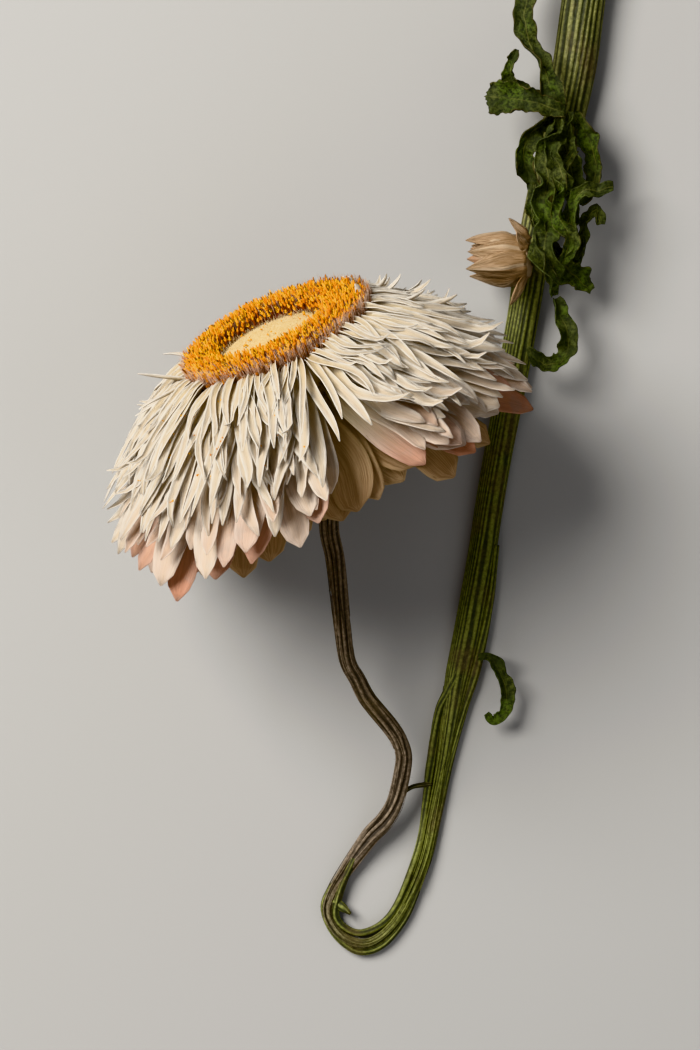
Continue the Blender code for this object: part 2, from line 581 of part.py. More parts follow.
def sheet(name, middle, thickness):
    """A closed sheet of even thickness, split into triangles alike on both faces."""
    rows, lanes = middle.shape[:2]
    normal = np.cross(np.gradient(middle, axis=0), np.gradient(middle, axis=1))
    normal /= np.linalg.norm(normal, axis=2, keepdims=True)
    upper = (middle - normal * thickness / 2).reshape(-1, 3)
    lower = (middle + normal * thickness / 2).reshape(-1, 3)
    under = rows * lanes
    faces = []
    for row in range(rows - 1):
        for lane in range(lanes - 1):
            a = row * lanes + lane
            b, c, d = a + 1, a + lanes + 1, a + lanes
            faces += [(a, b, c), (a, c, d)]
            faces += [(under + c, under + b, under + a), (under + d, under + c, under + a)]
    rim = [lane for lane in range(lanes)]
    rim += [row * lanes + lanes - 1 for row in range(1, rows)]
    rim += [(rows - 1) * lanes + lane for lane in range(lanes - 2, -1, -1)]
    rim += [row * lanes for row in range(rows - 2, 0, -1)]
    for a, b in zip(rim, rim[1:] + rim[:1]):
        faces += [(b, a, under + a), (b, under + a, under + b)]
    return solid(name, np.vstack([upper, lower]), faces)


def stem_cutter():
    return tube("stem_room", STEM[:18], 30, 12, grow=GAP + 0.2)


def cluster_shapes():
    """What leaf() needs for each leaf of the cluster, by name."""
    return {name: (rows, 13, CLUSTER_WAVE, 20 + number) for number, (name, rows) in enumerate(CLUSTER.items())}


def make_cluster(finish):
    """The tangled leaves round the stem at the bud, fused where they cross and clear of the stem."""
    made = [leaf(name, *shape) for name, shape in cluster_shapes().items()]
    body = made[0]
    body.name = "leaf_cluster"
    combine(body, made[1:], "UNION")
    combine(body, [stem_cutter(), make_bud(None, grow=GAP + 0.9)], "DIFFERENCE")
    return finish_node(body, finish)


def make_leaf(name, rows, count, seed, finish, neighbours):
    """One leaf of its own, cut clear of the stem and of the leaves before it."""
    body = leaf(name, rows, count, LEAF_WAVE, seed)
    room = [leaf(other, *shape, grow=GAP + 0.1) for other, shape in neighbours.items()]
    combine(body, [stem_cutter()] + room, "DIFFERENCE")
    return finish_node(body, finish)


def clear_scene():
    for old in list(bpy.data.objects):
        bpy.data.objects.remove(old)


def build():
    clear_scene()
    white = material("white_bract", (0.78, 0.68, 0.58), 0.6)
    tan = material("tan_bract", (0.50, 0.33, 0.17), 0.65)
    gold = material("golden_floret", (0.72, 0.30, 0.02), 0.75)
    cream = material("cream_felt", (0.68, 0.50, 0.26), 0.85)
    green_brown = material("dry_stem", (0.14, 0.15, 0.05), 0.7)
    bud_tan = material("bud_bract", (0.60, 0.42, 0.24), 0.6)
    green = material("dry_leaf", (0.07, 0.11, 0.04), 0.7)

    make_stem(green_brown)
    make_bracts(white)
    make_outer_bracts(tan)
    make_disc_florets(gold)
    make_disc_centre(cream)
    make_bud(bud_tan)
    make_cluster(green)
    cluster = cluster_shapes()
    left = {"left_room": (LEAF_LEFT, 9, LEAF_WAVE, 40)}
    back = {"back_room": (LEAF_LEFT_BACK, 10, LEAF_WAVE, 41)}
    make_leaf("leaf_left", LEAF_LEFT, 9, 40, green, cluster)
    make_leaf("leaf_left_back", LEAF_LEFT_BACK, 10, 41, green, {**cluster, **left})
    make_leaf("leaf_top", LEAF_TOP, 14, 42, green, {**cluster, **left, **back})
    make_leaf("leaf_hanging", LEAF_HANGING, 14, 43, green, cluster)
    make_leaf("leaf_small", LEAF_SMALL, 12, 44, green, {})


build()
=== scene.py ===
import math
import random

import bpy
import numpy as np
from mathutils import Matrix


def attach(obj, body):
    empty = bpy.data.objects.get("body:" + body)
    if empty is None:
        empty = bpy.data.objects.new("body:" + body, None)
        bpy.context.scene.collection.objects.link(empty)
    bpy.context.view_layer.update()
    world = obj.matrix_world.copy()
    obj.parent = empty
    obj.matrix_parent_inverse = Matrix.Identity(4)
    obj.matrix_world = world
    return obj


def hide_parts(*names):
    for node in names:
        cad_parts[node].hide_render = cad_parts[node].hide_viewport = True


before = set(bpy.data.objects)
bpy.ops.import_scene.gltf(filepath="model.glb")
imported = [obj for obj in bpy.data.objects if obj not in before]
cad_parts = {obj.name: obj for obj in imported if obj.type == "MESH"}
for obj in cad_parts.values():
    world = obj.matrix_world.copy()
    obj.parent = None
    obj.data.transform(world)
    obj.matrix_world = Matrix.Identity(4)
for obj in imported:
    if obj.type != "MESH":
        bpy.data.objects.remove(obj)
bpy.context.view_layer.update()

# Lengths are in millimetres until a mesh is made. The routes are those of the solids, and are shifted
# by MIDDLE as there. The photo's camera looks straight down on the table.
MM = 0.001
MIDDLE = np.array((3.15, 14.9, 0.0))
UP = np.array((0.0, 0.0, 1.0))

CAMERA_HEIGHT = 630.0
PHOTO_SCALE = 7.5 * 600            # pixels per millimetre times the distance from the camera
SENSOR = 36.0
FLOOR_DROP = 0.05

# The head
CENTRE = np.array((-9.4, 24.0, 28.9))
AXIS_TILT = 25.0
AXIS_RISE = 20.0
RING_RADIUS = 12.9
RING_HOLE = 7.3
RING_HEIGHT = 3.7
HOLE_SHIFT = -0.7
CENTRE_HEIGHT = 2.4
SEAT_DEPTH = 5.0
LEFT_SPREAD = 3.0
TABLE_SIDE_SQUEEZE = 10.0
SHORTEST_TURN = 77.0
FRONT_SHORTER = 0.24
PARTING_TURN = 78.0                # where the bracts part and show the tan ones under them
PARTING_SWAY = 17.0
PARTING_HALF = 9.0                  # degrees to each side of it within which no bract of the lower rows grows
FACING = 38.0                       # degrees by which the bracts at the sides turn their faces to the camera
TABLE_CLEARANCE = 0.12

# Rows of the head's bracts from the disc outwards: how many, height and radius of the roots, angle to
# the axis, length, half width, roundness of the tips, curl of the edges in radians, twist in degrees,
# and how pink they are
WHITE_ROWS = (
    (60, 0.1, 12.0, 63.0, 14.0, 0.60, 0.05, 1.50, 42, 0.00),
    (92, -0.2, 11.9, 60.5, 19.5, 0.78, 0.08, 1.30, 34, 0.00),
    (100, -0.8, 11.4, 58.5, 23.5, 0.92, 0.12, 1.10, 28, 0.03),
    (96, -1.5, 10.9, 57.0, 25.0, 1.06, 0.22, 0.90, 22, 0.15),
    (66, -2.4, 10.4, 55.0, 26.5, 1.45, 0.60, 0.75, 18, 0.45),
    (44, -3.4, 9.7, 52.0, 27.6, 1.95, 0.90, 0.55, 10, 0.75),
    (34, -4.2, 9.2, 49.0, 28.2, 2.35, 0.95, 0.45, 8, 0.95),
)
TAN_ROWS = (
    (24, -6.2, 6.9, 41.0, 25.5, 2.8, 0.95, 0.40, 8, 0.2),
    (14, -7.4, 5.8, 36.0, 21.0, 2.7, 0.95, 0.45, 8, 0.1),
    (10, -8.4, 5.0, 32.0, 15.0, 2.4, 0.95, 0.40, 8, 0.0),
)

# By how many degrees the bracts of each row bend up from the seat round the ring's foot before they
# come down, and within what length
SHOULDERS = (68, 62, 46, 28, 14, 8, 5, 4, 4, 4)
SHOULDER_LENGTH = 3.2
ARCH = 8.0                          # degrees by which a bract leans out more at its root, and less at its tip

# Single bracts that stand out from the rest: turn, angle to the axis at root and tip, length, half width
STRAYS = (
    (178, 120, 128, 8.0, 0.75), (214, 126, 112, 5.6, 0.6), (176, 96, 92, 8.8, 0.75), (170, 84, 70, 9.6, 0.7),
    (186, 80, 92, 9.6, 0.65), (165, 76, 84, 8.6, 0.7), (196, 94, 64, 7.2, 0.6), (8, 150, 215, 3.6, 0.9),
    (-22, 140, 230, 3.8, 0.8), (-4, 135, 90, 3.4, 0.8), (-34, 110, 190, 3.4, 0.7), (18, 118, 70, 3.6, 0.7),
    (-36, 74, 150, 5.4, 0.8), (-20, 72, 150, 6.6, 0.8), (-46, 68, 150, 6.2, 0.8), (-6, 74, 130, 7.6, 0.85),
    (-54, 62, 140, 7.6, 0.8), (2, 66, 120, 9.4, 0.9), (-28, 60, 130, 9.0, 0.8), (-12, 60, 115, 11.4, 0.95),
    (-60, 58, 130, 9.4, 0.8), (-40, 56, 120, 11.0, 0.9), (-2, 58, 105, 13.4, 1.0), (-22, 54, 110, 13.0, 0.9),
)

STEM = (
    (35.3, 89.4, 2.20, 3.00, 2.80), (34.0, 81.6, 2.15, 2.95, 2.75), (32.6, 73.2, 2.10, 2.95, 2.70),
    (31.4, 64.9, 2.10, 3.00, 2.70), (30.1, 57.9, 1.95, 2.80, 2.50), (28.3, 50.2, 1.88, 2.60, 2.40),
    (26.8, 43.3, 1.80, 2.50, 2.30), (25.4, 37.0, 1.70, 2.30, 2.20), (24.4, 30.7, 1.62, 2.15, 2.10),
    (23.3, 24.4, 1.48, 2.10, 1.90), (22.1, 17.5, 1.32, 2.00, 1.70), (20.7, 9.8, 1.16, 1.90, 1.50),
    (19.4, 2.1, 1.08, 1.90, 1.40), (18.3, -4.9, 1.00, 1.90, 1.30), (16.2, -16.1, 0.93, 1.90, 1.20),
    (15.0, -21.7, 0.90, 1.70, 1.10), (13.8, -28.7, 0.90, 1.10, 1.00), (12.9, -34.0, 0.88, 0.80, 0.90),
    (11.6, -40.7, 0.80, 0.70, 0.80), (10.6, -45.9, 0.80, 0.70, 0.75), (9.0, -50.6, 0.80, 0.70, 0.75),
    (6.9, -54.8, 0.80, 0.70, 0.75), (4.3, -57.6, 0.80, 0.70, 0.75), (1.7, -58.6, 0.80, 0.70, 0.75),
    (-1.1, -57.6, 0.80, 0.65, 0.75), (-2.9, -55.2, 0.80, 0.65, 0.75), (-3.2, -53.1, 0.80, 0.65, 0.75),
    (-2.2, -50.6, 0.90, 0.65, 0.75), (-0.8, -48.5, 1.10, 0.80, 0.80), (1.1, -45.7, 1.40, 0.95, 0.90),
    (2.8, -43.3, 1.90, 1.10, 1.00), (4.9, -41.0, 2.50, 1.15, 1.10), (6.4, -38.1, 3.40, 1.10, 1.10),
    (7.4, -32.9, 5.50, 1.05, 1.10), (6.9, -30.2, 6.70, 1.00, 1.10), (5.5, -27.8, 8.00, 1.00, 1.10),
    (2.5, -24.1, 9.9, 1.00, 1.10), (1.0, -21.3, 11.2, 1.00, 1.10), (-0.4, -18.5, 12.3, 1.00, 1.10),
    (-1.1, -12.9, 14.5, 1.05, 1.10), (-2.0, -4.7, 17.4, 1.10, 1.10), (-2.8, -0.7, 18.8, 1.15, 1.15),
    (-2.9, 5.0, 21.0, 1.20, 1.20),
)
STALK_TOP = ((15.4, 1.35), (10.95, 1.6))
STRAND_LEFT = (
    (15.8, -18.9, 1.2, 0.70, 0.80), (13.7, -23.3, 1.1, 0.70, 0.80), (12.3, -26.6, 0.9, 0.60, 0.70),
    (11.2, -34.0, 0.8, 0.60, 0.70), (10.6, -38.7, 0.8, 0.50, 0.60), (9.8, -44.3, 0.8, 0.50, 0.60),
    (8.1, -49.6, 0.8, 0.50, 0.60), (6.3, -53.6, 0.8, 0.50, 0.60), (4.2, -55.9, 0.9, 0.50, 0.60),
    (1.4, -57.0, 0.9, 0.50, 0.60), (-0.8, -56.2, 1.0, 0.50, 0.60), (-2.0, -54.6, 1.1, 0.50, 0.60),
    (-1.7, -52.4, 1.2, 0.50, 0.60), (-0.8, -49.6, 1.4, 0.50, 0.60), (0.6, -46.5, 1.7, 0.50, 0.60),
)
STRAND_RIGHT = (
    (20.4, -2.8, 1.5, 0.45, 0.50), (19.6, -10.5, 1.3, 0.50, 0.60), (17.7, -20.0, 1.1, 0.60, 0.70),
    (16.0, -25.7, 0.9, 0.50, 0.60), (14.1, -32.7, 0.8, 0.45, 0.60), (12.8, -38.7, 0.7, 0.45, 0.60),
    (11.3, -45.7, 0.7, 0.45, 0.60), (9.8, -49.9, 0.7, 0.45, 0.60), (7.8, -54.8, 0.7, 0.45, 0.60),
    (5.0, -58.4, 0.7, 0.45, 0.60), (2.2, -59.7, 0.7, 0.45, 0.60), (-0.1, -59.1, 0.7, 0.45, 0.60),
    (-2.5, -56.8, 0.7, 0.45, 0.60), (-3.7, -53.8, 0.7, 0.45, 0.60), (-3.1, -51.4, 0.8, 0.45, 0.60),
    (-1.1, -48.8, 1.1, 0.50, 0.60),
)
TWIG = ((6.2, -38.0, 3.2, 0.35, 0.35), (8.1, -36.8, 2.9, 0.32, 0.32), (9.2, -36.4, 2.2, 0.32, 0.32),
        (11.4, -36.2, 0.9, 0.40, 0.40))
TORN_TIP = ((-2.3, -52.6, 1.0, 0.7, 0.5), (-1.0, -53.4, 1.4, 0.6, 0.4), (0.1, -54.3, 1.7, 0.2, 0.3))
BUD_BRANCH = ((26.2, 35.6, 2.0, 1.1, 1.1), (25.7, 36.4, 5.0, 0.95, 0.95), (25.6, 36.8, 7.2, 0.9, 0.9))

BUD_BASE = np.array((24.8, 36.9, 8.2))
BUD_TIP = np.array((16.2, 36.7, 6.4))
BUD_RADIUS = 3.2

# The leaves: x, y, height, half width, roll of the face and fold of its halves, in degrees
LEAF_TOP = (
    (29.4, 57.9, 7.2, 0.9, 15, 10), (27.6, 60.6, 8.0, 1.8, 5, 10), (26.7, 63.0, 8.0, 1.4, -40, 25),
    (25.0, 66.2, 7.4, 1.5, -30, 20), (24.2, 69.8, 7.0, 1.7, 5, 15), (24.7, 73.6, 6.6, 1.6, 20, 15),
    (25.6, 77.2, 6.0, 1.1, 30, 20), (26.4, 80.0, 5.5, 0.5, 30, 20),
)
LEAF_LEFT = (
    (29.6, 57.0, 8.2, 0.8, 0, 25), (26.9, 57.8, 9.2, 1.5, -8, 18), (24.2, 58.5, 9.5, 2.1, -6, 14),
    (21.6, 58.9, 9.2, 2.4, 4, 12), (19.2, 59.1, 8.8, 2.3, 10, 10),
)
LEAF_LEFT_BACK = (
    (27.2, 59.2, 5.8, 0.7, 20, 10), (24.8, 60.2, 5.4, 0.9, 20, 15), (22.6, 61.4, 5.6, 1.1, 25, 20),
    (22.3, 63.0, 6.6, 1.3, 30, 30), (22.8, 64.6, 7.4, 0.9, 30, 30), (23.1, 65.7, 7.8, 0.4, 30, 30),
)
CLUSTER = {
    "front": (
        (30.2, 57.2, 6.6, 0.8, 0, 20), (28.6, 54.4, 8.2, 1.3, 55, 35), (27.0, 51.0, 8.8, 1.9, -35, 30),
        (27.2, 47.4, 9.0, 2.1, 30, 30), (26.8, 44.6, 9.2, 1.8, -30, 35), (27.4, 41.6, 9.4, 2.2, 20, 30),
        (26.8, 38.4, 10.2, 2.3, -25, 30), (27.2, 34.8, 9.2, 1.9, 40, 35), (28.2, 31.8, 7.6, 0.8, 20, 20),
    ),
    "upper": (
        (29.2, 56.8, 7.4, 0.6, 20, 20), (27.2, 54.2, 8.8, 1.0, 60, 30), (27.6, 51.6, 9.6, 1.3, 20, 30),
        (29.0, 49.4, 9.9, 1.4, -40, 30), (29.4, 46.8, 9.9, 1.3, 40, 25), (28.6, 44.6, 10.1, 0.9, 20, 20),
        (28.9, 42.6, 10.2, 0.4, 10, 10),
    ),
    "crossing": (
        (30.8, 51.6, 7.8, 0.6, 20, 20), (29.8, 49.0, 9.2, 1.0, -50, 30), (28.4, 45.4, 10.3, 1.2, 30, 30),
        (28.9, 42.2, 10.4, 1.3, -40, 30), (30.0, 39.6, 9.8, 1.4, 40, 30), (29.6, 37.0, 9.4, 1.2, 10, 30),
        (28.4, 35.2, 9.6, 0.5, 10, 10),
    ),
    "edge": (
        (26.0, 46.6, 7.4, 0.5, 10, 10), (25.6, 44.2, 8.2, 0.8, 50, 30), (26.4, 41.8, 8.8, 1.0, -30, 30),
        (25.8, 39.4, 9.8, 1.1, 40, 30), (26.2, 36.8, 10.6, 1.2, 50, 35), (27.4, 34.4, 10.4, 1.0, 10, 30),
        (28.8, 33.0, 9.4, 0.4, 10, 10),
    ),
    "left": (
        (28.6, 56.2, 6.4, 0.8, 10, 20), (25.8, 54.8, 7.4, 1.5, 25, 20), (24.0, 52.4, 7.6, 1.9, 30, 25),
        (24.0, 49.9, 7.2, 1.7, 10, 25), (25.2, 47.4, 7.0, 1.1, -20, 15), (25.3, 44.4, 6.6, 0.9, -10, 10),
        (25.9, 41.4, 6.2, 0.8, 0, 10),
    ),
    "middle": (
        (29.6, 56.8, 6.4, 0.9, 0, 15), (29.6, 53.6, 7.0, 1.7, -20, 20), (30.4, 50.0, 7.2, 2.0, -10, 15),
        (30.8, 46.4, 7.4, 1.8, 15, 20), (30.2, 43.0, 7.2, 1.4, 25, 25), (29.4, 40.2, 6.8, 0.8, 10, 20),
    ),
    "right": (
        (31.0, 57.2, 4.8, 0.8, -20, 15), (32.6, 55.0, 5.2, 1.6, -30, 15), (33.8, 52.2, 5.2, 1.8, -40, 20),
        (34.0, 49.2, 5.2, 1.5, -20, 25), (33.2, 46.6, 5.6, 1.1, 10, 20), (31.6, 44.6, 6.4, 0.8, 10, 10),
    ),
    "ribbon": (
        (28.3, 36.0, 7.2, 0.8, 10, 10), (30.2, 37.6, 8.6, 1.0, 40, 15), (30.9, 40.8, 9.6, 0.9, 50, 15),
        (30.8, 43.8, 9.8, 0.9, 45, 15), (32.0, 45.8, 9.8, 1.0, 10, 15), (34.2, 46.2, 9.4, 1.1, -10, 15),
        (36.2, 46.8, 9.0, 0.5, 0, 10),
    ),
    "curl": (
        (29.6, 35.2, 5.2, 0.8, 10, 10), (31.8, 37.2, 6.0, 1.0, 30, 15), (32.3, 39.8, 6.6, 0.9, 40, 15),
        (32.6, 42.0, 6.8, 0.9, 40, 15), (34.2, 43.8, 6.8, 0.9, 20, 15), (34.6, 41.6, 6.6, 0.6, 20, 15),
    ),
    "lower": (
        (27.2, 39.0, 7.4, 1.0, 0, 15), (29.0, 36.8, 7.0, 2.0, -25, 20), (30.8, 34.8, 6.2, 2.2, 10, 20),
        (32.3, 33.4, 5.6, 1.6, 30, 20), (33.4, 32.4, 5.2, 0.5, 20, 20),
    ),
}
LEAF_HANGING = (
    (28.6, 31.6, 4.6, 0.7, 20, 15), (29.1, 29.4, 5.0, 1.3, 25, 20), (30.0, 27.0, 5.2, 1.7, 20, 30),
    (30.4, 24.8, 5.0, 1.7, -15, 30), (29.4, 22.6, 4.8, 1.4, -40, 25), (27.4, 22.2, 5.0, 1.3, -20, 20),
    (25.6, 23.4, 5.8, 1.1, 10, 15), (24.6, 24.6, 6.2, 0.4, 10, 10),
)
LEAF_SMALL = (
    (17.9, -18.4, 2.9, 0.5, 0, 15), (19.6, -18.6, 3.4, 0.8, 20, 20), (21.0, -21.0, 3.4, 1.2, 30, 25),
    (21.8, -23.8, 3.2, 1.2, 15, 25), (21.6, -26.4, 3.0, 1.0, -20, 20), (20.0, -27.4, 3.0, 0.9, -30, 15),
    (19.0, -26.2, 3.4, 0.5, -20, 10),
)


def unit(vectors):
    return vectors / np.linalg.norm(vectors, axis=-1, keepdims=True)


def smooth(value, low, high):
    """0 below low, 1 above high, and a smooth step between them."""
    t = np.clip((np.asarray(value, float) - low) / (high - low), 0, 1)
    return t * t * (3 - 2 * t)


def from_angles(tilt, rise):
    tilt, rise = math.radians(tilt), math.radians(rise)
    return np.array((-math.sin(tilt) * math.cos(rise), math.cos(tilt) * math.cos(rise), math.sin(rise)))


AXIS = from_angles(AXIS_TILT, AXIS_RISE)
RIGHT = unit(np.cross(AXIS, UP))
TOP = np.cross(RIGHT, AXIS)


def out_of_axis(turn):
    """The directions away from the head's axis at these turns: 0 right, 90 towards the camera."""
    angle = np.radians(turn)[..., None]
    return np.cos(angle) * RIGHT + np.sin(angle) * TOP


def on_disc(radius, turn, height):
    """Points of the disc by their distance from the axis, turn and height."""
    radius, turn, height = (np.asarray(a, float) for a in (radius, turn, height))
    aside = HOLE_SHIFT * np.clip((RING_RADIUS - radius) / (RING_RADIUS - RING_HOLE), 0, 1)
    return (CENTRE + out_of_axis(turn) * radius[..., None] + RIGHT * aside[..., None]
            + AXIS * height[..., None])


def from_photo(x, y, z):
    """The point at height z that the photo shows at pixel x, y."""
    scale = PHOTO_SCALE / (CAMERA_HEIGHT - z)
    return np.array(((x - 350) / scale, (525 - y) / scale, z))


def through(rows, count):
    """A smooth curve through the rows, read at places evenly spaced along its length."""
    rows = np.array(rows, float)
    ends = np.vstack([2 * rows[0] - rows[1], rows, 2 * rows[-1] - rows[-2]])
    fine = []
    for p0, p1, p2, p3 in zip(ends, ends[1:], ends[2:], ends[3:]):
        for t in np.arange(0, 1, 0.1):
            bend = 2 * p0 - 5 * p1 + 4 * p2 - p3
            turn = 3 * p1 - p0 - 3 * p2 + p3
            fine.append(p1 + 0.5 * ((p2 - p0) * t + bend * t ** 2 + turn * t ** 3))
    fine = np.array(fine + [rows[-1]])
    run = np.append(0, np.cumsum(np.linalg.norm(np.diff(fine[:, :3], axis=0), axis=1)))
    places = np.linspace(0, run[-1], count)
    return np.array([np.interp(places, run, column) for column in fine.T]).T


class Pile:
    """Many small shapes gathered into one mesh, with values at each point for its material."""

    def __init__(self):
        self.points = []
        self.faces = []
        self.values = []
        self.count = 0

    def add(self, points, faces, **values):
        points = np.asarray(points, float).reshape(-1, 3)
        self.points.append(points)
        self.faces += [tuple(face) for face in (np.asarray(faces) + self.count).tolist()]
        self.values.append(values)
        self.count += len(points)

    def make(self, name, material, slot, *nodes):
        """The piece itself, riding on the part in place of the nodes."""
        mesh = bpy.data.meshes.new(name)
        placed = (np.vstack(self.points) - MIDDLE) * MM
        mesh.from_pydata(placed.tolist(), [], self.faces)
        for key in sorted({key for values in self.values for key in values}):
            column = [np.broadcast_to(np.asarray(values.get(key, 0.0), float).reshape(-1), len(points))
                      for points, values in zip(self.points, self.values)]
            mesh.attributes.new(key, "FLOAT", "POINT").data.foreach_set("value", np.concatenate(column))
        mesh.shade_smooth()
        mesh.materials.append(material)
        piece = bpy.data.objects.new(name, mesh)
        bpy.context.scene.collection.objects.link(piece)
        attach(piece, "root")
        if nodes:
            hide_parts(*nodes)
        return piece


def grid_faces(rows, lanes, closed=False):
    """Quads of a grid whose points are numbered row by row. A closed grid joins its last lane to its
    first."""
    row, lane = np.meshgrid(np.arange(rows - 1), np.arange(lanes if closed else lanes - 1), indexing="ij")
    a = row * lanes + lane
    b = row * lanes + (lane + 1) % lanes
    return np.stack([a, b, b + lanes, a + lanes], axis=-1).reshape(-1, 4)


def add_sheet(pile, grid, thickness, **values):
    """A thin closed sheet round a grid of points."""
    rows, lanes = grid.shape[:2]
    normal = unit(np.cross(np.gradient(grid, axis=0), np.gradient(grid, axis=1)) + 1e-12)
    thickness = np.broadcast_to(np.asarray(thickness, float), (rows, lanes))[..., None]
    upper = (grid - normal * thickness / 2).reshape(-1, 3)
    lower = (grid + normal * thickness / 2).reshape(-1, 3)
    under = rows * lanes
    front = grid_faces(rows, lanes)
    rim = list(range(lanes))
    rim += [row * lanes + lanes - 1 for row in range(1, rows)]
    rim += [(rows - 1) * lanes + lane for lane in range(lanes - 2, -1, -1)]
    rim += [row * lanes for row in range(rows - 2, 0, -1)]
    rim = np.array(rim)
    after = np.roll(rim, -1)
    sides = np.stack([after, rim, rim + under, after + under], axis=-1)
    faces = np.vstack([front, front[:, ::-1] + under, sides])
    doubled = {name: np.tile(np.broadcast_to(value, (rows, lanes)).reshape(-1), 2)
               for name, value in values.items()}
    pile.add(np.vstack([upper, lower]), faces, **doubled)


def add_tube(pile, centres, across, over, wide, high, closed_ends=True, **values):
    """A tube round centres. wide and high are its half sizes for each ring and side."""
    rings, sides = wide.shape
    angle = 2 * np.pi * np.arange(sides) / sides
    points = (centres[:, None] + across[:, None] * (wide * np.cos(angle))[..., None]
              + over[:, None] * (high * np.sin(angle))[..., None])
    faces = grid_faces(rings, sides, closed=True)
    flat = {name: np.broadcast_to(value, (rings, sides)).reshape(-1) for name, value in values.items()}
    if closed_ends:
        points = np.concatenate([points.reshape(-1, 3), centres[:1], centres[-1:]])
        first = rings * sides
        side = np.arange(sides)
        after = (side + 1) % sides
        start = np.stack([after, side, np.full(sides, first), np.full(sides, first)], axis=-1)
        end = np.stack([side, after, np.full(sides, first + 1), np.full(sides, first + 1)], axis=-1)
        end[:, :2] += (rings - 1) * sides
        flat = {name: np.append(value, [value[0], value[-1]]) for name, value in flat.items()}
        pile.add(points, faces, **flat)
        base = pile.count - len(points)
        pile.faces += [tuple(face[:3]) for face in (start + base).tolist()]
        pile.faces += [tuple(face[:3]) for face in (end + base).tolist()]
        return points[:first].reshape(rings, sides, 3)
    pile.add(points, faces, **flat)
    return points


def sides_of(along):
    """Two directions across each of these, for what has no fixed turn."""
    helper = np.where(np.abs(along[:, 2:]) < 0.9, UP, RIGHT)
    across = unit(np.cross(along, helper))
    return across, np.cross(along, across)


def add_needles(pile, base, middle, tip, radius, **values):
    """Many thin three-sided hairs, each bent through its middle."""
    count = len(base)
    across, over = sides_of(unit(tip - base))
    radius = np.broadcast_to(radius, count)[:, None]
    points = []
    for place, share in ((base, 1.0), (middle, 0.8)):
        for side in range(3):
            angle = 2 * math.pi * side / 3
            points.append(place + radius * share * (across * math.cos(angle) + over * math.sin(angle)))
    points.append(tip)
    points = np.stack(points, axis=1)
    first = (np.arange(count) * 7)[:, None]
    for face in ((0, 1, 4, 3), (1, 2, 5, 4), (2, 0, 3, 5), (3, 4, 6), (4, 5, 6), (5, 3, 6)):
        pile.faces += [tuple(row) for row in (first + np.array(face) + pile.count).tolist()]
    along = np.tile((0, 0, 0, 0.5, 0.5, 0.5, 1), count)
    spread = {name: np.repeat(np.broadcast_to(value, count), 7) for name, value in values.items()}
    pile.add(points, np.empty((0, 3), int), along=along, **spread)


def petal_grid(line, across, out, half_widths, curls, lanes):
    """A petal's points: at each place along its line an arc across it, with its edges curled outwards."""
    part = np.linspace(-1, 1, lanes)
    curls = np.maximum(curls, 0.01)[:, None]
    angle = curls * part
    sideways = half_widths[:, None] * np.sin(angle) / curls
    outwards = half_widths[:, None] * (1 - np.cos(angle)) / curls
    return line[:, None] + across[:, None] * sideways[..., None] + out[:, None] * outwards[..., None]


def petal_widths(t, half_width, roundness):
    """Half widths along a petal, from a pointed to a round one."""
    root = 0.6 + 0.4 * smooth(t, 0.0, 0.35)
    pointed = (1 - 0.25 * smooth(t, 0.3, 0.8)) * np.clip(1 - smooth(t, 0.72, 1.03), 0.002, 1) ** 0.6
    tip = np.clip((t - 0.76) / 0.24, 0, 1)
    rounded = (0.72 + 0.28 * smooth(t, 0.0, 0.6)) * np.sqrt(np.clip(1 - tip ** 2.4, 0.004, 1))
    return half_width * root * ((1 - roundness) * pointed + roundness * rounded)


